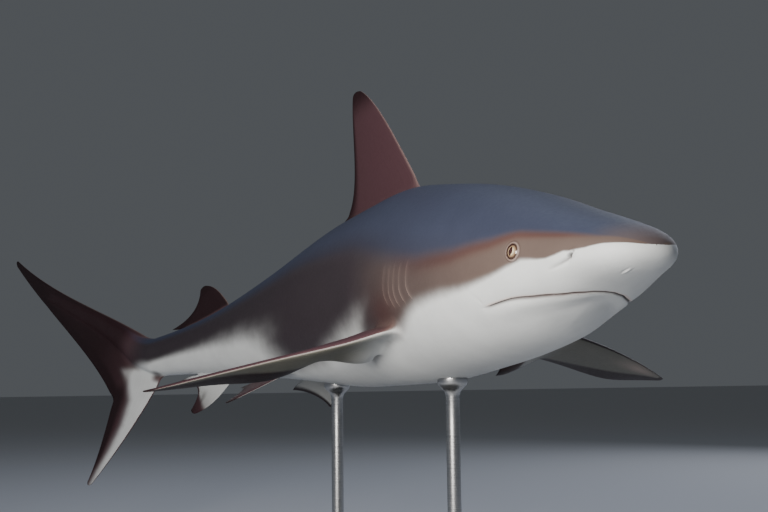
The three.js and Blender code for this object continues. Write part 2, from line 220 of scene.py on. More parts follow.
def bent(points, station):
    own = points + np.stack([station * length, 0 * station, 0 * station], -1)
    return spineAt(station) + np.einsum("...ij,...j->...i", axesAt(station), own)


def skinPoint(station, angle):
    return bent(straightSkin(station, angle), np.asarray(station, float))


def mirrored(angle, side):
    return angle if side > 0 else 180 - angle


# Head details, worked on the left side and mirrored; sizes in mm unless they are stations or angles

mouth = {
    # station, and half the angle that the jaw takes up there, from the front of the lips to the corner
    "opening": (
        (0.0450, 0), (0.0458, 8), (0.0482, 15.5), (0.0508, 22.5), (0.0553, 29.5), (0.0636, 40),
        (0.0732, 47.5), (0.0836, 53.8), (0.0959, 57.5), (0.112, 58.5),
    ),
    "skew": 5,  # degrees that the front of the jaw lies towards the right
    "corner": 0.112,
    "depth": 3.0,
    "width": 0.95,
    "upperRoll": 4.2,  # how far the upper lip curls in towards the line, and over what reach
    "upperReach": 15,
    "jawSetBack": 1.6,
    "chinSetBack": 12.5,  # how far the front of the jaw lies in on the left, and over what reach
    "chinFull": (42, 28),  # where that is full, below the lips on the right and on the left
    "chinKept": 20,
    "chinReach": 45,
    "lowerSwell": 2.8,
    "swellAt": 14,
    "swellReach": 17,
    "notches": 9,  # mm between the small notches in the lower lip
}
eye = {
    "station": 0.0759,
    "below": -8,
    "radius": 11,
    "thickness": 14,
    "sink": 4.6,
    "opening": 9.3,
    "lidHeight": 1.0,
    "lidFurrow": 0.6,
    "socket": 8,
    "pupilHeight": 13,
    "pupilWidth": 7,
    "pupilTilt": 13,  # degrees, top towards the tail
    "pupilBack": 0.9,
}
nostril = {
    "slit": ((0.0310, -1.8), (0.0331, 2.8), (0.0342, 6.6)),
    "groove": ((0.0342, 6.6), (0.0362, 11.2), (0.0408, 15.0), (0.0457, 16.6), (0.051, 17.5)),
    "depth": 4.5,
    "width": 1.3,
    "flap": 0.8,
    "grooveDepth": 3.4,
}
snoutFold = ((0.0194, 74), (0.0165, 71.5), (0.0120, 70))
cheekFold = ((0.1105, 29), (0.1124, 23), (0.1173, 16), (0.1239, 10))
foldHeights = {"snoutRidge": 1.1, "snoutFurrow": 0.9, "cheekFurrow": 0.9}
# a knob where each pectoral fin's front edge starts
finKnob = {"station": 0.2215, "below": 28.5, "height": 3, "reach": 7}
gills = {
    "stations": (0.188, 0.1987, 0.2082, 0.2166, 0.2262),
    "bottoms": (14.5, 16.2, 17.8, 17.4, 15.4),  # degrees below the side
    "top": -11,
    "sweep": 0.006,  # how far the lower end runs forward
    "flap": 1.5,  # height of each flap's edge, and over what reach
    "flapReach": 5,
    "depth": 3,
    "slitReach": 2.6,
}


def featureLine(places, samples=10):
    stations, belows = np.array(places, float).T
    t = np.linspace(0, len(stations) - 1, (len(stations) - 1) * samples + 1)
    keys = np.arange(len(stations))
    return straightSkin(np.interp(t, keys, stations), -np.interp(t, keys, belows)) / mm


# Distance in mm from points to a line, and how far along it (0 to 1) the nearest place lies
def nearLine(points, line):
    nearest = np.full(len(points), 1e9)
    share = np.zeros(len(points))
    for i, (start, end) in enumerate(zip(line[:-1], line[1:])):
        step = end - start
        t = np.clip((points - start) @ step / (step @ step), 0, 1)
        away = np.linalg.norm(points - start - t[:, None] * step, axis=1)
        closer = away < nearest
        nearest[closer] = away[closer]
        share[closer] = (i + t[closer]) / (len(line) - 1)
    return nearest, share


def gillLine(index):
    bottom = gills["bottoms"][index]
    belows = np.linspace(gills["top"], bottom, 14)
    return [(gillStation(index, below), below) for below in belows]


def gillStation(index, below):
    reach = (below - gills["top"]) / (gills["bottoms"][index] - gills["top"])
    bow = 0.0025 * (1 - (2 * reach - 1) ** 2)
    return gills["stations"][index] + bow - gills["sweep"] * smoothstep(reach, 0.55, 1.1)


def placeAxes(station, below):
    centre = straightSkin(station, -below)
    outward = straightNormal(station, -below)
    ahead = unit(np.array([1.0, 0, 0]) - outward * outward[0])
    return centre / mm, np.stack([ahead, np.cross(outward, ahead), outward])


jawStations, jawSpread = np.array(mouth["opening"], float).T
halfJaw = smoothThrough(jawSpread, jawStations)  # station against half the angle


def jawMiddle(station):
    return -90 - mouth["skew"] * (1 - smoothstep(station, 0.05, 0.105))


def mouthPath():
    spread = np.linspace(-jawSpread[-1], jawSpread[-1], 121)
    station = halfJaw(np.abs(spread))
    return straightSkin(station, jawMiddle(station) + spread) / mm


mouthLine = mouthPath()
slitLine = featureLine(nostril["slit"])
grooveLine = featureLine(nostril["groove"])
foldLine = featureLine(snoutFold)
cheekLine = featureLine(cheekFold)
gillLines = [featureLine(gillLine(i), 2) for i in range(len(gills["stations"]))]
eyeCentre, eyeAxes = placeAxes(eye["station"], eye["below"])
knobCentre, _ = placeAxes(finKnob["station"], finKnob["below"])


def folded(points):  # in mm, with the right side laid over the left
    return np.stack([points[:, 0], np.abs(points[:, 1]), points[:, 2]], 1) / mm


# Reach in mm of each round of finer mesh about the mouth, gills, nostrils and eyes
finerRounds = ((10, 9, 12, 19), (5, 4.5, 8, 15), (0, 0, 4.5, 11.5))


def wantsFiner(station, angle, reaches):
    points = folded(straightSkin(station, angle))
    head = points[:, 0] > -0.25 * length / mm
    wanted = np.zeros(len(points), bool)
    near = points[head]
    found = np.linalg.norm(near - eyeCentre, axis=1) < reaches[3]
    if reaches[0]:
        found |= nearLine(straightSkin(station[head], angle[head]) / mm, mouthLine)[0] < reaches[0]
    for lines, reach in ((gillLines, reaches[1]), ([slitLine, grooveLine], reaches[2])):
        for line in lines:
            if reach:
                found |= nearLine(near, line)[0] < reach
    wanted[head] = found
    return wanted


# Rows of mesh along the body: spacing in mm, and how fast it grows from the tip of the snout
rowSpacing = {"tip": 0.3, "head": 2.4, "trunk": 4.5}
rowGrowth = {"head": 1.12, "trunk": 1.03}
headEnd = 0.235
tipStation = 0.0003
tipRows = 12
tipBlunting = {"station": 0.003, "back": 0.64}  # mm that the very tip is pressed back
columns = 240


def rowStations():
    rows = [tipStation * (row / tipRows) ** 2 for row in range(1, tipRows + 1)]
    step = rowSpacing["tip"] * mm
    while rows[-1] < shark["stalkEnd"]:
        part = "head" if rows[-1] < headEnd else "trunk"
        step = min(step * rowGrowth[part], rowSpacing[part] * mm)
        rows.append(rows[-1] + step / length)
    rows[-1] = shark["stalkEnd"]
    tailRows = int((axisStations[-1] - axisStations[1]) * length / (rowSpacing["trunk"] * mm))
    rows.extend(np.linspace(axisStations[1], axisStations[-1], tailRows)[1:])
    return np.array(rows)


# The fleshy axis of the tail inside its upper lobe, in thousandths of the length from its root

tail = {
    "start": 0.7414,
    "axis": (  # back, rise, half depth, half width
        (20, 11, 15.5, 10), (46, 30, 12.5, 6.5), (82, 52, 10, 4.2), (125, 75, 7.5, 2.8),
        (168, 99, 5.5, 1.8),
    ),
    "tilt": 17,  # degrees that each section turns up, as far as the steepest
    "steepest": 34,
    "firstStep": 27.405,
}
stalkEnd = shark["stalkEnd"]
axisStations = [stalkEnd - 0.03, stalkEnd, stalkEnd + tail["firstStep"] / 1000]
for before, after in zip(tail["axis"], tail["axis"][1:]):
    axisStations.append(axisStations[-1] + math.dist(before[:2], after[:2]) / 1000)


def tailPoint(station, angle):
    rings = [skinPoint(np.full_like(station, key), angle) for key in axisStations[:2]]
    for index, (back, rise, deep, wide) in enumerate(tail["axis"]):
        tilt = math.radians(min(tail["steepest"], tail["tilt"] * (index + 1)))
        high = np.sin(np.radians(angle)) * deep
        across = np.cos(np.radians(angle)) * wide
        own = [high * math.sin(tilt) - back, across, rise + high * math.cos(tilt)]
        turn = axesAt(tail["start"])
        rings.append(spineAt(tail["start"]) + (np.stack(own, -1) * permille) @ turn.T)
    keys = np.array(axisStations)
    rings = np.array(rings)
    slopes = np.gradient(rings, keys, axis=0)
    i = np.clip(np.searchsorted(keys, station) - 1, 1, len(keys) - 2)
    width = (keys[i + 1] - keys[i])[:, None]
    t = ((station - keys[i]) / width[:, 0])[:, None]
    each = np.arange(len(station))
    return stretch(rings[i, each], rings[i + 1, each], slopes[i, each], slopes[i + 1, each], t, width)


def gridFaces(rowCount, columnCount):
    index = np.arange(rowCount * columnCount).reshape(rowCount, columnCount)
    faces = [index[:-1, :-1], index[:-1, 1:], index[1:, 1:], index[1:, :-1]]
    return np.stack(faces, -1).reshape(-1, 4)


# The body's surface as a sheet of station against angle, made finer about the head's details

def bodySheet():
    rows = rowStations()
    angles = np.linspace(-270, 90, columns + 1)
    flat = np.stack([*np.meshgrid(rows, angles, indexing="ij"), np.zeros((len(rows), columns + 1))], -1)
    faces = gridFaces(len(rows), columns + 1)
    mesh = bpy.data.meshes.new("sheet")
    mesh.from_pydata(flat.reshape(-1, 3), [], faces)
    made = bmesh.new()
    made.from_mesh(mesh)
    bpy.data.meshes.remove(mesh)
    for reaches in finerRounds:
        made.verts.ensure_lookup_table()
        places = np.array([v.co[:2] for v in made.verts])
        near = wantsFiner(places[:, 0], places[:, 1], reaches)
        edges = {e for f in made.faces if any(near[v.index] for v in f.verts) for e in f.edges}
        bmesh.ops.subdivide_edges(made, edges=list(edges), cuts=1, use_grid_fill=True)
        made.verts.index_update()
    return made


def carved(station, angle):
    points = straightSkin(station, angle)
    outward = straightNormal(station, angle)
    below = np.where(angle < -90, angle + 180, -angle)
    # painted shade in the head's creases and hollows, and painted highlights on its edges, kept as colour
    # fields
    fields = {name: np.zeros(len(points)) for name in ("crease", "paintedHighlight")}
    rise = ridges(station, below)
    near = station < 0.25
    lift, crease, paintedHighlight = headDetail(points[near] / mm, angle[near], station[near], below[near])
    rise[near] += lift
    fields["crease"][near] = crease
    fields["paintedHighlight"][near] = paintedHighlight
    points = points + outward * rise[:, None] * mm
    points[:, 0] -= tipBlunting["back"] * mm * np.clip(1 - station / tipBlunting["station"], 0, 1)
    return points, below, fields


# Low forms of the flesh, in mm: height, then station and reach, then where they lie round the body
lowForms = {
    "backRidge": {"height": 2, "width": 5, "start": (0.4, 0.46), "end": (0.64, 0.68)},
    "ridgeGrows": {"share": 1.8, "station": 0.61, "reach": 0.05},
    "tailPit": {"height": -3, "station": 0.7375, "reach": 0.0035, "above": (55, 85)},
    "shoulder": {"height": 3.5, "station": 0.288, "reach": 0.03, "above": (45, 85)},
    "brow": {"height": 1.6, "station": 0.079, "reach": 0.016, "below": -24, "width": 9},
    "cheek": {"height": 1.4, "station": 0.118, "reach": 0.02, "below": 22, "width": 13},
}


def ridges(station, below):
    ridge, grows = lowForms["backRidge"], lowForms["ridgeGrows"]
    crest = smoothstep(station, *ridge["start"]) * (1 - smoothstep(station, *ridge["end"]))
    crest *= 1 + grows["share"] * bump(station, grows["station"], grows["reach"])
    rise = ridge["height"] * bump(below, -90, ridge["width"]) * crest
    for name in ("tailPit", "brow", "cheek", "shoulder"):
        form = lowForms[name]
        along = form["height"] * bump(station, form["station"], form["reach"])
        if "above" in form:
            rise += along * smoothstep(-below, *form["above"])
        else:
            rise += along * bump(below, form["below"], form["width"])
    return rise


def headDetail(unfolded, angle, station, below):
    points = folded(unfolded * mm)
    lift = np.zeros(len(points))
    crease, paintedHighlight = lift.copy(), lift.copy()

    # the lips: a groove between an upper lip that curls in and a lower jaw that swells out below it
    away, _ = nearLine(unfolded, mouthLine)
    spread = np.interp(station, jawStations, jawSpread, left=-1)
    inJaw = np.abs(angle - jawMiddle(station)) < spread
    signed = np.where(inJaw, away, -away)
    corner = mouth["corner"]
    fade = 1 - smoothstep(station, corner - 0.007, corner + 0.001)
    wideFade = 1 - smoothstep(station, corner - 0.03, corner + 0.012)
    front = 1 - smoothstep(np.abs(angle - jawMiddle(station)), 28, 72)
    front *= 1 - smoothstep(station, 0.08, 0.13)
    width = mouth["width"] * (1 + 0.5 * front)
    lift -= mouth["depth"] * bump(signed, 0.2, width) * fade * (1 - 0.35 * front)
    roll = mouth["upperRoll"] * (1 - 0.45 * front**2)
    lift -= roll * np.where(inJaw, 0, np.exp(-away / mouth["upperReach"])) * wideFade
    jaw = (mouth["jawSetBack"] * np.exp(-away / 6) + roll * np.exp(-away / 7)) * (1 - front)
    lean = smoothstep(angle, -128, -62)  # towards the left
    chin = 0.3 + 0.7 * smoothstep(away / blend(*mouth["chinFull"], lean), 0.04, 1)
    chin *= np.exp(-np.maximum(away - mouth["chinKept"], 0) / mouth["chinReach"])
    jaw += mouth["chinSetBack"] * front * chin * (0.3 + 0.7 * lean)
    swell = mouth["lowerSwell"] * bump(away, mouth["swellAt"], mouth["swellReach"]) * (1 - 0.7 * front)
    lift += np.where(inJaw, swell - jaw, 0) * wideFade
    # painted shade along the mouth's groove, and in small notches just below it in the lower lip
    wave = points[:, 0] * 2 * math.pi / mouth["notches"] + 3 * np.sin(points[:, 0] * 0.23)
    notches = 0.5 + 0.5 * np.sin(wave)
    line = np.exp(-((signed / np.where(inJaw, 1.9 + 0.7 * front, 1.1)) ** 2))
    crease = np.maximum(crease, line * (0.85 + 0.15 * front) * fade)
    crease = np.maximum(crease, bump(signed, 2.8, 0.9) * notches**12 * 0.7 * bump(station, 0.051, 0.007))
    # a pinkish painted highlight just above the groove
    paintedHighlight = np.maximum(paintedHighlight, bump(signed, -2.2, 1.8) * fade * 0.5)

    # eyes: a socket behind the ball, a lid that stands up round it and a fold round the lid
    own = (points - eyeCentre) @ eyeAxes.T
    radius = np.hypot(own[:, 0], own[:, 1])
    facing = np.abs(own[:, 2]) < 25
    lid = np.where(facing, radius, 99)
    opening = eye["opening"]
    lift += eye["lidHeight"] * bump(lid, opening + 1.5, 1.3)
    lift -= eye["lidFurrow"] * bump(lid, opening + 4, 1.2)
    lift = np.where(lid < opening, -eye["socket"], lift)
    # painted shade in the socket round the ball and in the fold round the lid
    crease = np.maximum(crease, np.where(lid < opening + 0.5, 1, 0) + 0.3 * bump(lid, opening + 3.8, 0.9))
    # a painted highlight on the lid's rim
    paintedHighlight = np.maximum(paintedHighlight, 0.3 * bump(lid, opening + 2.1, 0.9))

    # nostrils: a slanted slit with a flap in front and a groove behind
    slit, along = nearLine(points, slitLine)
    hole = smoothstep(along, 0.15, 0.6)
    width = nostril["width"] * (0.7 + 1.0 * hole)
    lift -= nostril["depth"] * bump(slit, 0, width) * (0.4 + 0.6 * hole)
    lift += nostril["flap"] * bump(slit, 3.4, 1.6)
    # painted shade in the nostril's slit
    crease = np.maximum(crease, bump(slit, 0, width * 0.9) * (0.35 + 0.65 * hole))
    groove, along = nearLine(points, grooveLine)
    fade = (1 - along) ** 0.8
    lift -= nostril["grooveDepth"] * bump(groove, 0, 3.4) * fade
    # painted shade along the groove
    crease = np.maximum(crease, 0.7 * bump(groove, 0, 1.7) * fade)

    # a short fold under the snout, on the right side only
    fold, along = nearLine(np.where(unfolded[:, 1:2] < 0, points, 99), foldLine)
    fade = smoothstep(along, 0, 0.3) * smoothstep(1 - along, 0, 0.3)
    lift += foldHeights["snoutRidge"] * bump(fold, 0, 2.2) * fade
    lift -= foldHeights["snoutFurrow"] * bump(fold, 3.2, 1.4) * fade

    # a faint fold up behind the corner of the mouth, and the knob at the front of each pectoral fin
    fold, along = nearLine(points, cheekLine)
    fade = smoothstep(along, 0, 0.2) * (1 - along)
    lift -= foldHeights["cheekFurrow"] * bump(fold, 0, 2.2) * fade
    # painted shade along the fold
    crease = np.maximum(crease, 0.16 * bump(fold, 0, 1.4) * fade)
    knob = np.linalg.norm(points - knobCentre, axis=1)
    lift += finKnob["height"] * bump(knob, 0, finKnob["reach"])
    # a painted highlight on the knob
    paintedHighlight = np.maximum(paintedHighlight, 0.8 * bump(knob, 0, finKnob["reach"] * 0.7))

    # gill slits: each is the edge of a flap over the next one
    for index, line in enumerate(gillLines):
        away, share = nearLine(points, line)
        behind = station > gillStation(index, below)
        fade = smoothstep(share, 0, 0.22) * (1 - smoothstep(share, 0.82, 1))
        pressed = -gills["depth"] * np.exp(-away / gills["slitReach"])
        raised = gills["flap"] * np.exp(-away / gills["flapReach"])
        lift += np.where(behind, pressed, raised) * fade
        # painted shade in each slit
        crease = np.maximum(crease, np.where(behind, np.exp(-((away / 1.3) ** 2)), 0) * fade * 0.6)
        # and a painted highlight along each flap's edge, brighter lower down and on the front slits
        pale = (0.1 + 0.22 * smoothstep(below, -4, 10)) * (1 - 0.12 * index)
        paintedHighlight = np.maximum(paintedHighlight, np.where(behind, 0, np.exp(-away / 1.6)) * fade * pale)
    return lift, crease, paintedHighlight


# Markings. Each field is above 0 where its colour shows, and runs evenly across its border.

markings = {
    # station and the angle below the side where white begins: on the head, behind the pectoral
    # fins and on the tail
    "border": (
        (0.0, -90), (0.0002, -85), (0.0003, -54), (0.0005, -39), (0.001, -27), (0.002, -21),
        (0.008, -17), (0.016, -12.8), (0.0244, -6.2), (0.0334, -3), (0.0375, -3.6), (0.0441, 0),
        (0.0499, 2), (0.0564, 1.4), (0.0622, 0), (0.0688, -0.8), (0.0745, 1), (0.0786, 2.4),
        (0.086, 4.5), (0.0959, 7.2), (0.1181, 10.8), (0.1428, 11.4), (0.1625, 11.8), (0.1831, 14.5),
        (0.1979, 19.5), (0.2152, 27), (0.225, 29), (0.26, 31), (0.28, 36), (0.3, 41), (0.5, 52),
    ),
    "wedgeBorder": (
        (0.25, 9), (0.2744, 12), (0.29, 13.5), (0.3057, 16), (0.32, 18.5), (0.3517, 24),
        (0.3748, 30), (0.4, 38), (0.44, 42), (0.5, 52),
    ),
    "stripeBorder": (
        (0.44, 6), (0.5, 4.5), (0.55, 2), (0.5944, 2), (0.6364, 4.5), (0.675, 7.5), (0.7, 10.5),
        (0.726, 15.5), (0.75, 24), (0.77, 34),
    ),
    # angle below the side and the station where the wedge and the stripe start
    "wedgeStart": ((0, 0.262), (12, 0.272), (20, 0.281), (40, 0.29)),
    "stripeStart": ((0, 0.5), (20, 0.488), (40, 0.47)),
    "wedgeSoftness": 0.02,
    "stripeSoftness": (0.085, 0.045),  # at its upper edge and lower down
    # brown behind the top of each pectoral fin: station and reach, angle and reach
    "armpit": (0.24, 0.026, 17, 14),
    # station and how many degrees each border takes to change over
    "softness": (
        (0, 2.5), (0.05, 2.4), (0.1, 4.5), (0.16, 8), (0.21, 10), (0.25, 11), (0.27, 17),
        (0.36, 15), (0.46, 18), (0.55, 19), (0.62, 17), (0.7, 14),
    ),
    # station and the angle above which the brown gives way to the back's grey, with a painted blue sheen
    "greyBorder": (
        (0, -42), (0.02, -29), (0.0745, -25), (0.0976, -16), (0.1362, -9), (0.1774, -7), (0.3, -17),
        (0.45, -26), (0.74, -30),
    ),
}


def keyed(name, place):
    keys, values = np.array(markings[name], float).T
    return np.interp(place, keys, values)


def lesser(a, b):  # the smaller, rounded where they meet
    return (a + b - np.sqrt((a - b) ** 2 + 0.2)) / 2


def bodyMarkings(station, below, fields):
    softness = keyed("softness", station)
    wedgeStart = (station - keyed("wedgeStart", below)) / markings["wedgeSoftness"]
    wedge = lesser((below - keyed("wedgeBorder", station)) / softness, wedgeStart)
    stripeSoftness = blend(*markings["stripeSoftness"], smoothstep(below, 5, 20))
    stripeStart = (station - keyed("stripeStart", below)) / stripeSoftness
    stripe = lesser((below - keyed("stripeBorder", station)) / softness, stripeStart)
    fields["pale"] = np.maximum((below - keyed("border", station)) / softness, np.maximum(wedge, stripe))
    edge = below - keyed("greyBorder", station)
    tip = 1 - smoothstep(station, 0.002, 0.03)
    fields["warm"] = np.maximum(smoothstep(edge, -9, 6), 0.7 * tip)
    place, reach, middle, breadth = markings["armpit"]
    armpit = 1.6 * bump(station, place, reach) * bump(below, middle, breadth)
    headOnly = smoothstep(station, 0.012, 0.045) * (1 - smoothstep(station, 0.15, 0.24))
    fields["rust"] = 1.1 * bump(edge, 1, 4.5) * headOnly + armpit
    fields["deep"] = 0.4 * smoothstep(station, 0.08, 0.2) + 0.55 * smoothstep(station, 0.2, 0.31)
    fields["deep"] = np.maximum(fields["deep"] * smoothstep(edge, -22, 4), 0.3 * armpit)
    tailward = smoothstep(station, 0.735, 0.8)
    fields["dusk"] = blend(-3, 0.5, tailward)
    fields["fin"] = tailward
    fields["shade"] = fields["ray"] = np.zeros(len(station))
    return fields


# The tail's white runs from the stalk down the lower lobe, over body and fins alike. Places are
# in thousandths of the length: back from the tail's root and rise above it.
tailMarkings = {
    "whiteBack": ((-126, 84), (-112, 74), (-92, 58), (-67, 42), (-41, 32), (-18, 37), (-5, 45)),
    "whiteTop": ((-20, -5), (0, -5), (12, -4), (44, -4)),
    "softness": (10, 8),
    "patch": (-10, -21, 9, 5.5),  # a brown patch at the lower lobe's root: place, then reach
}


def paintTail(points, fields, body, lobes):
    local = (points - spineAt(tail["start"])) @ axesAt(tail["start"]) / permille
    back, rise = -local[:, 0], local[:, 2]
    softBack, softTop = tailMarkings["softness"]
    backLimit, topLimit = (np.array(tailMarkings[name], float).T for name in ("whiteBack", "whiteTop"))
    inBack = (np.interp(rise, *backLimit) - back) / softBack
    inTop = (np.interp(back, *topLimit) - rise) / softTop
    white = np.clip(lesser(inBack, inTop), -3, 3)
    patchBack, patchRise, patchLong, patchDeep = tailMarkings["patch"]
    patch = bump(back, patchBack, patchLong) * bump(rise, patchRise, patchDeep) * (body | lobes)
    share = smoothstep(back, -22, 8) * body + lobes
    pale, dusk, rust = (fieldNames.index(name) for name in ("pale", "dusk", "rust"))
    fields[:, pale] = blend(fields[:, pale], white + fields[:, pale] * lobes, share)
    fields[:, pale] = blend(np.clip(fields[:, pale], -3, 1.5), -0.8, patch)
    fields[:, dusk] = blend(fields[:, dusk], np.minimum(fields[:, dusk], -0.2 - 1.2 * white), share)
    fields[:, rust] += 1.2 * patch
    return fields


# Fins: the same curved patches between four edges as the solids, at a finer spacing

finEdge = 0.8  # mm, thickness of a fin's rim


def bezier(points, t):
    points = [np.array(p, float)[None] for p in points]
    t = np.asarray(t, float)[:, None]
    while len(points) > 1:
        points = [blend(a, b, t) for a, b in zip(points, points[1:])]
    return points[0]


def aerofoil(t):
    return 10 * (0.2969 * np.sqrt(t) - 0.126 * t - 0.3516 * t**2 + 0.2843 * t**3 - 0.1036 * t**4)


def finFrame(station, angle, outward, ahead=0.0, pitch=0.0):
    pitch, outward = math.radians(pitch), math.radians(outward)
    back = np.array([-math.cos(pitch), 0, -math.sin(pitch)])
    out = np.array([0, math.cos(outward), math.sin(outward)])
    across = unit(np.cross(back, out))
    out = np.cross(across, back)
    return axesAt(station + ahead) @ np.stack([back, out, across], 1), skinPoint(station, angle)


def finPatch(place, form, flex=None):
    turn, origin = place
    columnCount, rowCount = form["grid"]
    u = np.linspace(0, 1, columnCount + 1) ** 1.6
    v = np.linspace(0, 1, rowCount + 1)
    leading, trailing = bezier(form["leading"], v), bezier(form["trailing"], v)
    starts = [form["leading"][0], form["trailing"][0]]
    ends = [form["leading"][3], form["trailing"][3]]
    inner = bezier([starts[0], form["inner"], starts[1]], u)
    outer = bezier([ends[0], form["apex"], ends[1]], u)
    uu, vv = np.meshgrid(u, v)
    acrossU, acrossV = uu[..., None], vv[..., None]
    corners = blend(
        blend(*(np.array(p, float) for p in starts), acrossU),
        blend(*(np.array(p, float) for p in ends), acrossU),
        acrossV,
    )
    flat = blend(leading[:, None], trailing[:, None], acrossU)
    flat = flat + blend(inner[None], outer[None], acrossV) - corners
    thick, thin = form["thickness"]
    fade = np.sqrt(smoothstep(vv, 0, 0.15)) * np.sqrt(smoothstep(1 - vv, -0.02, 0.2))
    width = finEdge + blend(thick, thin, vv**0.8) * aerofoil(uu) * fade
    lean = flex(flat[..., 0], flat[..., 1], uu) * permille if flex else 0 * uu
    points = []
    for sign in (1, -1):
        own = np.stack([flat[..., 0] * permille, flat[..., 1] * permille, lean + sign * width / 2 * mm], -1)
        points.append(origin + own @ turn.T)
    count = uu.size
    places = {"u": np.tile(uu.ravel(), 2), "v": np.tile(vv.ravel(), 2), "face": np.repeat([1.0, -1.0], count)}
    return np.stack(points).reshape(-1, 3), slabFaces(rowCount + 1, columnCount + 1), places


def slabFaces(rowCount, columnCount):  # two grids, one over the other, closed round the rim
    index = np.arange(rowCount * columnCount).reshape(rowCount, columnCount)
    top = gridFaces(rowCount, columnCount)
    under = index.size + top[:, ::-1]
    rim = np.concatenate([index[0, :-1], index[:-1, -1], index[-1, :0:-1], index[:0:-1, 0]])
    following = np.roll(rim, -1)
    side = np.stack([rim, rim + index.size, following + index.size, following], -1)
    return np.vstack([top, under, side])


def finForm(*values):  # grid is the number of columns and rows of mesh
    return dict(zip(("leading", "apex", "trailing", "inner", "thickness", "grid"), values))


# Outlines in thousandths of the length, x tailward from the fin's origin and y outward: the front
# edge, the tip, the rear edge, then the middle of the root and the thickness at root and tip
finForms = {
    "firstDorsal": finForm(
        [(-18, -24), (14, 12), (42, 84), (78, 105.5)],
        (89, 109),
        [(143, -1), (98, 6), (106, 70), (93, 104)],
        (104, -18), (15, 3), (54, 90),
    ),
    "secondDorsal": finForm(
        [(-18, -8), (2, 13), (16, 30), (33, 33)],
        (40, 35),
        [(88, -6), (60, 0), (44, 10), (44, 30)],
        (46, -12), (6, 2), (36, 36),
    ),
    "anal": finForm(
        [(-14, -10), (6, 14), (28, 29), (53, 33)],
        (61, 34.5),
        [(88, -3), (51, 0), (45, 10), (63, 29)],
        (45, -12), (6, 2), (36, 36),
    ),
    "pelvic": finForm(
        [(-12, -12), (14, 12), (34, 28), (52, 38)],
        (59, 41),
        [(81, 2), (62, 8), (57, 25), (62, 36)],
        (52, -12), (8, 2), (36, 40),
    ),
    "upperLobe": finForm(
        [(-14, 12), (54, 60), (150, 90), (231, 155.5)],
        (236, 157),
        [(44, -80), (36, -20), (152, 58), (232, 149)],
        (20, -22), (12, 3), (44, 130),
    ),
    "lowerLobe": finForm(
        [(-24, 8), (-2, 42), (34, 86), (79, 126)],
        (86, 129),
        [(51, 22), (60, 56), (69, 94), (85, 123)],
        (22, -14), (12, 3), (44, 80),
    ),
}
# How each pectoral fin is held: degrees, then thousandths of the length
pectoralPoses = {
    1: {
        "pitch": 14.5, "droop": 3.8, "sweep": 33.1, "tipRise": 0, "innerLift": 0.06,
        "lobe": 86, "lobeDroop": 18, "noseDroop": 0.6, "rearDroop": 3, "rearAt": 115,
    },
    -1: {
        "pitch": 12, "droop": 8.5, "sweep": 41, "tipRise": 13, "innerLift": 0.12,
        "lobe": 69, "lobeDroop": 17, "noseDroop": 1.6, "rearDroop": 7, "rearAt": 60,
    },
}
pectoralRoot = {"station": 0.2221, "angle": -28, "ahead": 0}
pelvicRoot = {"station": 0.48, "angle": -57, "ahead": 0.03, "pitch": 3, "droop": 32}


def pairedFrame(root, side, droop, pitch):
    outward = mirrored(-droop, side)
    return finFrame(root["station"], mirrored(root["angle"], side), outward, root["ahead"], pitch)


def pectoralFin(side):
    pose = pectoralPoses[side]
    reach = 208  # from root to tip
    sweep = math.radians(pose["sweep"])
    out = np.array([math.sin(sweep), math.cos(sweep)])
    back = np.array([out[1], -out[0]])

    def place(along, behind):
        return tuple(along * out + behind * back)

    form = finForm(
        [(-14, -16), place(62, -16), place(140, -14), place(203, -4)],
        place(210, 0),
        [(pose["lobe"], -1), place(60, 30), place(140, 52), place(203, 4)],
        (46, -10), (25, 4), (60, 110),
    )

    def flex(x, y, u):
        lift = pose["innerLift"] * (x - y * math.tan(sweep)) * smoothstep(90 - y, 0, 90)
        hang = pose["lobeDroop"] * smoothstep(40 - y, 0, 40) * smoothstep(x, 20, pose["lobe"])
        nose = pose["noseDroop"] * np.clip(1 - u / 0.3, 0, 1) ** 2
        nose *= smoothstep(y, 0, 40) * (1 - smoothstep(y, 140, 200))
        rear = pose["rearDroop"] * u * bump(y, pose["rearAt"], 32)
        return side * (hang + nose + rear - lift - pose["tipRise"] * (y / reach) ** 2)

    return finPatch(pairedFrame(pectoralRoot, side, pose["droop"], pose["pitch"]), form, flex)


def pelvicFin(side):
    turn = pairedFrame(pelvicRoot, side, pelvicRoot["droop"], pelvicRoot["pitch"])
    return finPatch(turn, finForms["pelvic"])


def tailFin(name, outward):
    turn, _ = finFrame(tail["start"], outward, outward)
    return finPatch((turn, spineAt(tail["start"])), finForms[name])


# Dark rear margin of each pectoral fin's underside: its width at the root, how much it widens
# between two places, how softly it ends and where the dark tip begins
pectoralMargins = {1: (0.18, 0.6, 0.25, 1, 0.07, 0.95), -1: (0.05, 0.85, 0.1, 0.75, 0.09, 0.94)}
# the plainer fins: how dusky they are, and how rusty at the root
plainFins = {"firstDorsal": (-0.5, 0.1), "secondDorsal": (0.7, 1.1), "upperLobe": (0.75, 0.5)}


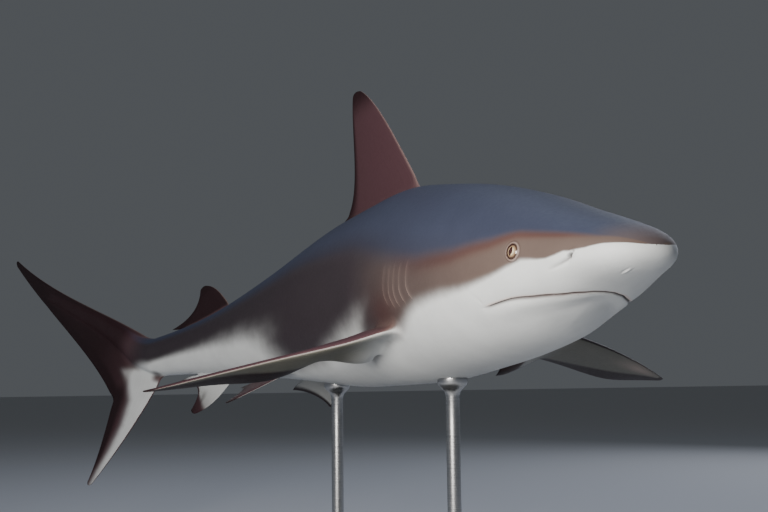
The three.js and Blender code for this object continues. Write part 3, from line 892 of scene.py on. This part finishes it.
# Colour fields of each kind of fin, from its places: u from front to back, v from root to tip
def finMarkings(kind, place, side):
    u, v = place["u"], place["v"]
    none = np.zeros(len(u))
    under = place["face"] * side > 0
    shade = paintedHighlight = none
    if kind == "pectoral":
        least, more, start, end, soft, tip = pectoralMargins[side]
        margin = least + more * smoothstep(v, start, end)
        dark = np.maximum((u - 1 + margin) / soft, (v - tip) / 0.02)
        pale = np.where(under, 3 - 1.5 * smoothstep(v, 0.1, 0.4), -3)
        rust = np.where(under, 0, 0.9 * bump(u, 0, 0.05))
        if side > 0:
            lobe = smoothstep(u, 0.3, 0.6) * (1 - smoothstep(v, 0.08, 0.16))
            dark = np.maximum(dark, np.maximum(1 - u / 0.006, 1.3 * lobe - 1))
            pale = pale - 4 * lobe * under
            rust = rust + 1.2 * lobe * under
            # a painted highlight on the outer part of the underside, a little behind the leading edge
            paintedHighlight = 0.4 * bump(u, 0.12, 0.12) * bump(v, 0.74, 0.15) * under
        else:
            dark = dark - 3 * (1 - smoothstep(v, 0.02, 0.12))
            # a painted highlight along the leading edge's underside
            paintedHighlight = 0.25 * bump(u, 0.003, 0.003) * smoothstep(v, 0.02, 0.1) * under
        dusk = np.where(under, dark, np.maximum(-0.5, dark * 0.4))
        # painted shade on the underside, held back at the leading edge to leave a pale line there
        nose = 1 - (0.38 - 0.23 * smoothstep(v, 0.1, 0.6)) * (1 - smoothstep(u, 0, 0.006))
        shade = smoothstep(v, 0.02, 0.25) * nose * under
    elif kind == "pelvic":
        dark = np.maximum((u - 0.86 + 0.3 * v) / 0.1, (v - 0.86) / 0.06)
        pale = np.where(under, 3, -3)
        dusk = np.where(under, dark, np.maximum(-0.3, dark * 0.4))
        # painted shade on the underside
        shade = np.where(under, 0.5, 0)
        rust = np.where(under, 0, 0.9)
    elif kind == "anal":
        dark = np.maximum((v - 0.66 - 0.2 * (1 - u)) / 0.22, (u - 0.9) / 0.12)
        pale = 2 - 3.5 * smoothstep(dark, -1, 0.8)
        dusk = np.maximum(0.45 * dark, 1.1 * bump(u, 0.55, 0.22) * smoothstep(v, 0.3, 0.7) - 0.9)
        rust = 1.3 * smoothstep(dark, -1, 0.6)
        # a little painted shade over the whole fin
        shade = none + 0.2
    elif kind == "lowerLobe":
        pale = -4 * bump(u, 0, 0.012)
        dusk = 1.6 * smoothstep(u, 0.45, 0.9) - 0.2
        rust = 0.8 * bump(u, 0, 0.03)
    else:
        duskiness, rustiness = plainFins[kind]
        onTail = kind == "upperLobe"
        pale = none if onTail else none - 3
        dusk = duskiness + 1.3 * smoothstep(np.maximum(u, v), 0.74, 1)
        dusk = dusk - 0.7 * (1 - smoothstep(v, 0.1, 0.45)) * onTail
        rust = rustiness * (1 - v)
        # a painted highlight along the leading edge
        paintedHighlight = 0.22 * bump(u, 0, 0.01)
    fields = {"pale": pale, "dusk": dusk, "rust": rust, "shade": shade, "paintedHighlight": paintedHighlight}
    fields |= {"crease": none, "deep": none, "warm": none + 1, "fin": smoothstep(v, 0.03, 0.2)}
    fields["ray"] = u * 24 + 3 * np.sin(v * 5)
    return fields


# Among these fields are painted shade in the head's hollows, painted highlights, and painted shade on the
# fins' undersides
fieldNames = ("pale", "dusk", "warm", "deep", "rust", "shade", "crease", "paintedHighlight", "fin", "ray")


def meshObject(name, points, faces):
    mesh = bpy.data.meshes.new(name)
    mesh.from_pydata([tuple(p) for p in points], [], [tuple(f) for f in faces])
    piece = bpy.data.objects.new(name, mesh)
    scene.collection.objects.link(piece)
    return piece


def finishedMesh(piece):
    graph = bpy.context.evaluated_depsgraph_get()
    return bpy.data.meshes.new_from_object(piece.evaluated_get(graph), depsgraph=graph)


def makeBody():
    made = bodySheet()
    places = np.array([v.co[:2] for v in made.verts])
    station, angle = places.T
    points = np.zeros((len(station), 3))
    trunk = station <= shark["stalkEnd"]
    shaped, below, fields = carved(station[trunk], angle[trunk])
    points[trunk] = bent(shaped, station[trunk])
    points[~trunk] = tailPoint(station[~trunk], angle[~trunk])
    allBelow = np.where(angle < -90, angle + 180, -angle)
    spread = {}
    for name, values in fields.items():
        spread[name] = np.zeros(len(station))
        spread[name][trunk] = values
    fields = bodyMarkings(station, allBelow, spread)
    layer = made.verts.layers.int.new("source")
    for vertex, point in zip(made.verts, points):
        vertex.co = point
        vertex[layer] = vertex.index
    bmesh.ops.remove_doubles(made, verts=[v for v in made.verts if v.is_boundary], dist=1e-7)
    bmesh.ops.holes_fill(made, edges=[e for e in made.edges if e.is_boundary], sides=0)
    bmesh.ops.triangulate(made, faces=[f for f in made.faces if len(f.verts) > 4])
    bmesh.ops.recalc_face_normals(made, faces=made.faces)
    order = np.array([v[layer] for v in made.verts])
    mesh = bpy.data.meshes.new("body")
    made.to_mesh(mesh)
    made.free()
    body = bpy.data.objects.new("body", mesh)
    scene.collection.objects.link(body)
    return body, points[order], np.stack([fields[name][order] for name in fieldNames], 1)


def united(base, other):
    change = base.modifiers.new("join", "BOOLEAN")
    change.operation = "UNION"
    change.solver = "MANIFOLD"
    change.object = other
    mesh = finishedMesh(base)
    base.modifiers.clear()
    base.data = mesh
    bpy.data.objects.remove(other)


def meshArrays(mesh):
    points = np.zeros(len(mesh.vertices) * 3, np.float32)
    mesh.vertices.foreach_get("co", points)
    edges = np.zeros(len(mesh.edges) * 2, np.int32)
    mesh.edges.foreach_get("vertices", edges)
    return points.reshape(-1, 3).astype(float), edges.reshape(-1, 2)


# Rounds the skin over where fins leave the body: most at the join, fading out around it
def relaxed(values, edges, weight, rounds):
    used = weight > 0
    keep = used[edges].any(1)
    a, b = edges[keep].T
    count = np.bincount(a, minlength=len(values)) + np.bincount(b, minlength=len(values))
    rows = np.flatnonzero(used)
    for _ in range(rounds):
        for column in range(values.shape[1]):
            given = values[:, column]
            total = np.bincount(a, given[b], len(values)) + np.bincount(b, given[a], len(values))
            mean = total[rows] / count[rows]
            values[rows, column] += (mean - values[rows, column]) * weight[rows] * 0.8
    return values


def treeOf(points, indices):
    tree = KDTree(len(indices))
    for index in indices:
        tree.insert(points[index], index)
    tree.balance()
    return tree


joins = {  # reach in mm of the rounded skin at each fin's root
    "firstDorsal": 34,
    "secondDorsal": 10,
    "anal": 10,
    "pelvic": 12,
    "pectoral": 22,
    "upperLobe": 24,
    "lowerLobe": 22,
}
rounding = {"least": 8, "flat": 0.15, "shapeRounds": 48, "colourRounds": 12}


# How much each point is rounded over: most at a join, fading out over its reach
def joinWeights(points, edges, kind, reach):
    seam = np.unique(edges[kind[edges[:, 0]] != kind[edges[:, 1]]])
    reachAtSeam = {index: max(reach[index], rounding["least"]) for index in seam}
    for a, b in edges[np.isin(edges, seam).all(1)]:
        reachAtSeam[a] = reachAtSeam[b] = max(reachAtSeam[a], reachAtSeam[b])
    seamTree = treeOf(points, seam)
    weight = np.zeros(len(points))
    for index, point in enumerate(points):
        _, found, away = seamTree.find(point)
        limit = reachAtSeam[found] * mm
        if away < limit:
            weight[index] = 1 - smoothstep(away / limit, rounding["flat"], 1)
    return weight


def makeSkin():
    body, sourcePoints, sourceFields = makeBody()
    print("body:", len(body.data.polygons), "faces")
    fins = [
        ("firstDorsal", 1, finPatch(finFrame(0.2995, 90, 95.75, 0.05), finForms["firstDorsal"])),
        ("secondDorsal", 1, finPatch(finFrame(0.629, 90, 90, 0.03), finForms["secondDorsal"])),
        ("anal", 1, finPatch(finFrame(0.613, -90, -90, 0.04), finForms["anal"])),
        ("upperLobe", 1, tailFin("upperLobe", 90)),
        *(("pectoral", side, pectoralFin(side)) for side in (1, -1)),
        *(("pelvic", side, pelvicFin(side)) for side in (1, -1)),
        ("lowerLobe", 1, tailFin("lowerLobe", -90)),
    ]
    kinds = [0] * len(sourcePoints)
    stiff = np.zeros(len(sourcePoints))  # keeps the tail's thin rear edges from shrinking
    for number, (kind, side, (points, faces, place)) in enumerate(fins):
        fields = finMarkings(kind, place, side)
        sourcePoints = np.vstack([sourcePoints, points])
        sourceFields = np.vstack([sourceFields, np.stack([fields[name] for name in fieldNames], 1)])
        kinds += [number + 1] * len(points)
        stiff = np.concatenate([stiff, smoothstep(place["u"], 0.8, 0.94) * kind.endswith("Lobe")])
        united(body, meshObject(kind, points, faces))
    skin = body
    skin.name = "skin"
    print("skin joined:", len(skin.data.polygons), "faces")

    points, edges = meshArrays(skin.data)
    tree = treeOf(sourcePoints, range(len(sourcePoints)))
    nearest = np.array([tree.find(point)[1] for point in points])
    kind = np.array(kinds)[nearest]
    tailKinds = [number + 1 for number, fin in enumerate(fins) if fin[0].endswith("Lobe")]
    fields = paintTail(points, sourceFields[nearest], kind == 0, np.isin(kind, tailKinds))
    reach = np.array([0, *(joins[name] for name, _, _ in fins)])[kind]
    weight = joinWeights(points, edges, kind, reach) * (1 - 0.95 * stiff[nearest])
    points = relaxed(points, edges, weight, rounding["shapeRounds"])
    fields = relaxed(fields, edges, weight, rounding["colourRounds"])
    skin.data.vertices.foreach_set("co", points.astype(np.float32).ravel())
    for name, values in zip(fieldNames, fields.T):
        attribute = skin.data.attributes.new(name, "FLOAT", "POINT")
        attribute.data.foreach_set("value", values.astype(np.float32))
    skin.data.polygons.foreach_set("use_smooth", [True] * len(skin.data.polygons))
    skin.data.update()
    return skin


# Materials

def linear(code):
    values = [int(code[i : i + 2], 16) / 255 for i in (1, 3, 5)]
    return (*(v / 12.92 if v <= 0.04045 else ((v + 0.055) / 1.055) ** 2.4 for v in values), 1)


def newMaterial(name):
    material = bpy.data.materials.new(name)
    material.use_nodes = True
    material.node_tree.nodes.clear()
    return material, material.node_tree


# Adds a node and gives back one of its outputs. Settings are its properties, and links set or
# connect its inputs by name or number.
def node(tree, kind, settings, links, output=0):
    made = tree.nodes.new("ShaderNode" + kind)
    for name, value in settings.items():
        setattr(made, name, value)
    for name, value in links.items():
        if isinstance(value, bpy.types.NodeSocket):
            tree.links.new(value, made.inputs[name])
        else:
            made.inputs[name].default_value = value
    return made.outputs[output] if made.outputs else None


blending = {"data_type": "RGBA"}
darkening = {"data_type": "RGBA", "blend_type": "MULTIPLY"}
easing = {"interpolation_type": "SMOOTHSTEP"}
adding, scaling, scaleAndAdd = ({"operation": name} for name in ("ADD", "MULTIPLY", "MULTIPLY_ADD"))

hide = {
    # the back's grey, made bluer and lighter as a painted sheen of the light from above
    "greyBackAndBlueSheen": "#3b4052",
    "brownFlank": "#645650",
    "rust": "#55332a",
    "deepFlank": "#332d33",
    # painted shade on the fins' undersides
    "finUndersideShade": "#706f66",
    "belly": "#dcdfdf",
    "dusk": "#220d10",
    "finBrown": "#573c42",
    # painted shade in the mouth, nostrils, gill slits, eye sockets and folds
    "crease": "#2e1512",
    # a pinkish-cream painted highlight on lips, lids, gill flaps, fin knobs and fins' leading edges
    "paintedHighlight": "#d8bfb4",
    "finRays": "#bcb8b5",
    "mottle": "#a0a0a2",
    "rustShare": 0.55,
    "rayShare": 0.22,
    "mottleShare": 0.1,
    "blotches": 45.5,  # mm
    "specks": 6.25,  # mm
    "scales": 1.5,  # mm: the real ones are about 0.3 mm wide, too fine to show
    "roughness": (0.43, 0.58),
}


# Shark skin: tiny close-set scales give it a satin look, with soft mottling in its colours
def skinMaterial():
    material, tree = newMaterial("sharkSkin")
    field = {name: node(tree, "Attribute", {"attribute_name": name}, {}, "Fac") for name in fieldNames}
    where = node(tree, "TexCoord", {}, {}, "Object")
    blotches = {"Vector": where, "Scale": 1 / (hide["blotches"] * mm), "Detail": 5, "Roughness": 0.6}
    specks = {"Vector": where, "Scale": 1 / (hide["specks"] * mm), "Detail": 4, "Roughness": 0.65}
    soft, fine = (node(tree, "TexNoise", {}, pattern) for pattern in (blotches, specks))
    wander = node(tree, "Math", scaleAndAdd, {0: soft, 1: 0.4, 2: -0.2})
    ragged = node(tree, "Math", scaleAndAdd, {0: fine, 1: 0.12, 2: -0.06})
    stray = node(tree, "Math", adding, {0: wander, 1: ragged})

    def edged(name):  # 0 to 1 across a marking's border, which the noise makes uneven
        strayed = node(tree, "Math", adding, {0: field[name], 1: stray})
        return node(tree, "MapRange", easing, {0: strayed, 1: -1, 2: 1})

    rust = node(tree, "Math", scaling, {0: field["rust"], 1: hide["rustShare"]})
    whiteness = node(tree, "Math", {"operation": "POWER"}, {0: edged("pale"), 1: 2})
    # the belly's white, greyed where painted shade lies on the fins' undersides
    pale = {0: field["shade"], 6: linear(hide["belly"]), 7: linear(hide["finUndersideShade"])}
    pale = node(tree, "Mix", blending, pale, 2)
    rays = node(tree, "TexNoise", {"noise_dimensions": "1D"}, {"W": field["ray"], "Scale": 4, "Detail": 2})
    rays = node(tree, "MapRange", easing, {0: rays, 1: 0.62, 2: 0.4})
    rays = node(tree, "Math", scaling, {0: field["fin"], 1: rays})
    rays = node(tree, "Math", scaling, {0: rays, 1: hide["rayShare"]})
    mottle = node(tree, "MapRange", easing, {0: soft, 1: 0.3, 2: 0.7})
    mottle = node(tree, "Mix", blending, {0: mottle, 6: linear(hide["mottle"]), 7: linear("#ffffff")}, 2)

    # from the back's grey with its painted blue sheen, each layer goes over the ones before it
    colour = linear(hide["greyBackAndBlueSheen"])
    for way, share, over in (
        (blending, field["warm"], linear(hide["brownFlank"])),
        (blending, rust, linear(hide["rust"])),
        (blending, field["deep"], linear(hide["deepFlank"])),
        (blending, field["fin"], linear(hide["finBrown"])),
        (blending, whiteness, pale),
        (blending, edged("dusk"), linear(hide["dusk"])),
        # a painted highlight
        (blending, field["paintedHighlight"], linear(hide["paintedHighlight"])),
        (darkening, rays, linear(hide["finRays"])),
        (darkening, hide["mottleShare"], mottle),
        # painted shade in creases and hollows
        (blending, field["crease"], linear(hide["crease"])),
    ):
        colour = node(tree, "Mix", way, {0: share, 6: colour, 7: over}, 2)

    cells = {"Vector": where, "Scale": 1 / (hide["scales"] * mm)}
    cells = node(tree, "TexVoronoi", {"feature": "F1"}, cells, "Distance")
    height = node(tree, "Math", scaleAndAdd, {0: cells, 1: 0.35, 2: fine})
    relief = node(tree, "Bump", {}, {"Strength": 0.25, "Distance": 0.0006, "Height": height})
    low, high = hide["roughness"]
    rough = node(tree, "MapRange", {}, {0: fine, 1: 0.2, 2: 0.8, 3: low, 4: high})
    finish = {"Roughness": rough, "IOR": 1.42, "Specular IOR Level": 0.3, "Normal": relief}
    shader = node(tree, "BsdfPrincipled", {}, {"Base Color": colour, **finish})
    node(tree, "OutputMaterial", {}, {"Surface": shader})
    return material


skin = makeSkin()
skin.data.materials.clear()
skin.data.materials.append(skinMaterial())
fleshNodes = [name for name in frame["nodes"] if not name.startswith(("eye", "stand"))]
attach(skin, "root")
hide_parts(*fleshNodes)
print("skin finished:", len(skin.data.polygons), "faces,", len(skin.data.vertices), "points")

# Eyes

eyeColours = {
    "iris": "#d9cba8",
    "irisEdge": "#8f765a",
    "rim": "#4a382e",
    "pupil": "#34150d",
}


# Eye under its clear wet cornea: a pale iris with fine spokes, a slit pupil and a sharp highlight
def eyeMaterial():
    material, tree = newMaterial("eyeUnderClearCornea")
    names = ("ring", "slit", "spoke")
    ring, slit, spoke = (node(tree, "Attribute", {"attribute_name": name}, {}, "Fac") for name in names)
    spokes = {"Vector": spoke, "Scale": 3, "Detail": 4}
    spokes = node(tree, "TexNoise", {"noise_dimensions": "2D"}, spokes)
    stray = node(tree, "Math", scaleAndAdd, {0: spokes, 1: 1.6, 2: -0.8})
    strayed = node(tree, "Math", adding, {0: ring, 1: stray})
    colour = linear(eyeColours["iris"])
    for source, start, full, name in (
        (strayed, 3.4, 6.6, "irisEdge"),
        (ring, 6.8, 7.8, "rim"),
        (slit, 1.08, 0.92, "pupil"),
    ):
        share = node(tree, "MapRange", easing, {0: source, 1: start, 2: full})
        colour = node(tree, "Mix", blending, {0: share, 6: colour, 7: linear(eyeColours[name])}, 2)
    cornea = {"Coat Weight": 1, "Coat Roughness": 0.02, "Coat IOR": 1.376}
    finish = {"Base Color": colour, "Roughness": 0.22, "IOR": 1.376, **cornea}
    node(tree, "OutputMaterial", {}, {"Surface": node(tree, "BsdfPrincipled", {}, finish)})
    return material


# Faces of a turned form: rings one below the other, then its top point and its bottom point
def turnedFaces(ringCount, around):
    index = np.arange(ringCount * around).reshape(ringCount, around)
    following = np.roll(index, -1, axis=1)
    faces = [index[:-1], index[1:], following[1:], following[:-1]]
    faces = np.stack(faces, -1).reshape(-1, 4).tolist()
    top = index.size
    faces += [[top, index[0, i], following[0, i]] for i in range(around)]
    faces += [[top + 1, following[-1, i], index[-1, i]] for i in range(around)]
    return faces


def finishMesh(piece, material, sharp=None):
    piece.data.polygons.foreach_set("use_smooth", [True] * len(piece.data.polygons))
    if sharp:
        piece.data.set_sharp_from_angle(angle=math.radians(sharp))
    piece.data.materials.append(material)


def makeEye(name, side, material):
    around, down = 96, 64
    phi = np.linspace(0, math.pi, down + 1)[1:-1]
    theta = np.arange(around) / around * 2 * math.pi
    p, t = np.meshgrid(phi, theta, indexing="ij")
    radius, half = eye["radius"], eye["thickness"] / 2
    own = [np.sin(p) * np.cos(t) * radius, np.sin(p) * np.sin(t) * radius, np.cos(p) * half]
    own = np.vstack([np.stack(own, -1).reshape(-1, 3), [0, 0, half], [0, 0, -half]])
    straight = (eyeCentre - eyeAxes[2] * eye["sink"] + own @ eyeAxes) * mm
    straight[:, 1] *= side
    station = np.full(len(own), eye["station"])
    ball = meshObject(name, bent(straight, station), turnedFaces(down - 1, around))
    if side < 0:
        ball.data.flip_normals()
    tilt = math.radians(eye["pupilTilt"])
    across = own[:, 0] * math.cos(tilt) + own[:, 1] * math.sin(tilt)
    upward = -own[:, 0] * math.sin(tilt) + own[:, 1] * math.cos(tilt)
    high, wide = eye["pupilHeight"] / 2, eye["pupilWidth"] / 2
    slit = np.abs(across + eye["pupilBack"]) / (wide * np.maximum(1 - (upward / high) ** 2, 0.001))
    hidden = own[:, 2] < 0
    # ring is the distance in mm from the eye's middle, and slit is below 1 inside the pupil
    values = {
        "ring": np.where(hidden, 20, np.hypot(own[:, 0], own[:, 1])),
        "slit": np.where(hidden | (np.abs(upward) > high), 9, np.minimum(slit, 9)),
        "spoke": np.arctan2(own[:, 1], own[:, 0]) * 6,
    }
    for field, numbers in values.items():
        attribute = ball.data.attributes.new(field, "FLOAT", "POINT")
        attribute.data.foreach_set("value", numbers.astype(np.float32))
    finishMesh(ball, material)
    return ball


eyeFinish = eyeMaterial()
for sideName, side in (("left", 1), ("right", -1)):
    ball = makeEye("eyeball_" + sideName, side, eyeFinish)
    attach(ball, "root")
    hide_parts("eye_" + sideName)
print("eyes finished")

# Display stand: a painted board and two steel rods with cups that fit the belly

board = {
    "length": 1.0,
    "width": 0.46,
    "thickness": 0.024,
    "bevel": 0.003,
    "paint": "#1f2022",
    "grain": (83.3, 2.78, 2.78),  # mm, along and across the brush strokes
}
rods = {
    "stations": {"front": 0.26, "rear": 0.45},
    "radius": 11,
    "flange": 34,
    "flangeHeight": 6,
    "cup": 24,
    "cupHeight": 22,
    "lip": 7,
    "clearance": 0.35,
    "steel": "#b9babb",
    "grain": (33.3, 33.3, 0.4),  # mm, across and along the rod
}


# A piece's grain: noise drawn out to the sizes given in mm
def grainOf(tree, sizes, detail):
    where = node(tree, "TexCoord", {}, {}, "Object")
    sizes = {"Vector": where, "Scale": [1 / (size * mm) for size in sizes]}
    drawnOut = node(tree, "Mapping", {}, sizes)
    return node(tree, "TexNoise", {}, {"Vector": drawnOut, "Scale": 1, "Detail": detail})


# Board painted satin black: a slight brush grain along its length
def boardMaterial():
    material, tree = newMaterial("satinPaintedBoard")
    grain = grainOf(tree, board["grain"], 6)
    relief = node(tree, "Bump", {}, {"Strength": 0.2, "Distance": 0.0004, "Height": grain})
    finish = {"Roughness": 0.42, "IOR": 1.5, "Normal": relief}
    shader = node(tree, "BsdfPrincipled", {}, {"Base Color": linear(board["paint"]), **finish})
    node(tree, "OutputMaterial", {}, {"Surface": shader})
    return material


# Stainless steel tube, brushed round its length: fine rings in its gloss
def steelMaterial():
    material, tree = newMaterial("brushedStainlessSteel")
    lines = grainOf(tree, rods["grain"], 3)
    rough = node(tree, "MapRange", {}, {0: lines, 1: 0.3, 2: 0.7, 3: 0.24, 4: 0.4})
    relief = node(tree, "Bump", {}, {"Strength": 0.15, "Distance": 0.0001, "Height": lines})
    finish = {"Metallic": 1.0, "Roughness": rough, "Normal": relief}
    shader = node(tree, "BsdfPrincipled", {}, {"Base Color": linear(rods["steel"]), **finish})
    node(tree, "OutputMaterial", {}, {"Surface": shader})
    return material


def makeBoard():
    straight = (board["length"] - board["width"]) / 2
    half = board["width"] / 2
    turns = np.linspace(-math.pi / 2, math.pi / 2, 49)
    outline = [(straight + half * math.cos(a), half * math.sin(a)) for a in turns]
    outline += [(-x, -y) for x, y in outline]
    count = len(outline)
    points = [(x, y, z) for z in (0, board["thickness"]) for x, y in outline]
    faces = [list(range(count))[::-1], list(range(count, 2 * count))]
    faces += [[i, (i + 1) % count, count + (i + 1) % count, count + i] for i in range(count)]
    piece = meshObject("stand_base_board", points, faces)
    edge = piece.modifiers.new("edge", "BEVEL")
    edge.width = board["bevel"]
    edge.segments = 4
    edge.limit_method = "ANGLE"
    edge.angle_limit = math.radians(50)
    piece.data = finishedMesh(piece)
    piece.modifiers.clear()
    finishMesh(piece, boardMaterial(), 35)
    return piece


# Radius and height up the rod in mm: a round foot, the tube and a cup under the belly
def rodProfile(height):
    radius, flange, flangeTop = rods["radius"], rods["flange"], rods["flangeHeight"]
    cup, lip = rods["cup"], height + rods["lip"]
    foot = [(flange - 1, 0), (flange, 1), (flange, flangeTop - 1.5), (flange - 1.5, flangeTop)]
    foot += [(radius + 6, flangeTop + 2), (radius + 2.5, flangeTop + 6), (radius, flangeTop + 14)]
    tube = [(radius, level) for level in np.linspace(40, height - rods["cupHeight"] - 4, 8)]
    flare = [(radius + 1.5, height - 19), (radius + 6, height - 14), (cup - 2, height - 9)]
    rim = [(cup, height - 5), (cup, lip)]
    return foot + tube + flare + rim + [(r, lip) for r in np.linspace(cup - 1, 0, 12)[:-1]]


def makeRod(name, station, surface, material):
    x, y, top = skinPoint(station, -90.0)
    footLevel = board["thickness"] + rods["clearance"] * mm
    profile = rodProfile((top - footLevel) / mm)
    around = 72
    turns = [i / around * 2 * math.pi for i in range(around)]

    def under(x, y, level):  # kept just below the skin
        hit = surface.ray_cast(Vector((x, y, footLevel)), Vector((0, 0, 1)))[0]
        return x, y, level if hit is None else min(level, hit.z - rods["clearance"] * mm)

    points = [
        under(x + r * mm * math.cos(a), y + r * mm * math.sin(a), footLevel + level * mm)
        for r, level in profile
        for a in turns
    ]
    points += [(x, y, footLevel), under(x, y, math.inf)]
    faces = [face[::-1] for face in turnedFaces(len(profile), around)]
    piece = meshObject(name, points, faces)
    finishMesh(piece, material, 40)
    return piece


standBoard = makeBoard()
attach(standBoard, "root")
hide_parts("stand_base")
bodySurface = BVHTree.FromObject(skin, bpy.context.evaluated_depsgraph_get())
steel = steelMaterial()
for rodName, station in rods["stations"].items():
    rodPiece = makeRod("stand_rod_" + rodName + "_turned", station, bodySurface, steel)
    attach(rodPiece, "root")
    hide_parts("stand_rod_" + rodName)
print("stand finished")

# Studio: a plain pale floor, soft lamps and an even pale surround

studio = {
    "floor": "#c3c4c6",
    "floorReach": 30,
    "surround": "#d3dae2",
    "surroundStrength": 0.13,
    # place, aim, size in metres, watts, colour, spread in degrees
    "lamps": {
        "keyLamp": ((1.35, -1.15, 0.7), (0.35, 0.0, 0.5), 0.6, 15.6, "#fffaf3", 110),
        "fillLamp": ((-1.6, -3.0, 1.6), (-0.4, 0.0, 0.5), 2.4, 7, "#eef3ff", 180),
        "farLamp": ((-1.5, 3.2, 2.0), (0.0, 0.0, 0.5), 2.4, 30, "#eef3ff", 180),
        "topLamp": ((-0.4, 0.6, 3.2), (-0.2, 0.0, 0.5), 2.6, 27, "#d6e4ff", 180),
    },
}


# Matt paper floor: even, with no gloss
def makeFloor():
    reach = studio["floorReach"]
    corners = [(-reach, -reach, 0), (reach, -reach, 0), (reach, reach, 0), (-reach, reach, 0)]
    floor = meshObject("floor", corners, [(0, 1, 2, 3)])
    material, tree = newMaterial("mattPaperFloor")
    shader = node(tree, "BsdfPrincipled", {}, {"Base Color": linear(studio["floor"]), "Roughness": 0.9})
    node(tree, "OutputMaterial", {}, {"Surface": shader})
    floor.data.materials.append(material)


def makeLamps():
    for name, (place, aim, size, power, colour, spread) in studio["lamps"].items():
        lamp = bpy.data.lights.new(name, "AREA")
        lamp.size = size
        lamp.spread = math.radians(spread)
        lamp.energy = power
        lamp.color = linear(colour)[:3]
        lampObject = bpy.data.objects.new(name, lamp)
        lampObject.location = place
        lampObject.rotation_euler = (Vector(aim) - Vector(place)).to_track_quat("-Z", "Y").to_euler()
        scene.collection.objects.link(lampObject)
    world = bpy.data.worlds.new("surround")
    world.use_nodes = True
    background = world.node_tree.nodes["Background"]
    background.inputs["Color"].default_value = linear(studio["surround"])
    background.inputs["Strength"].default_value = studio["surroundStrength"]
    scene.world = world


makeFloor()
makeLamps()
print("studio finished")
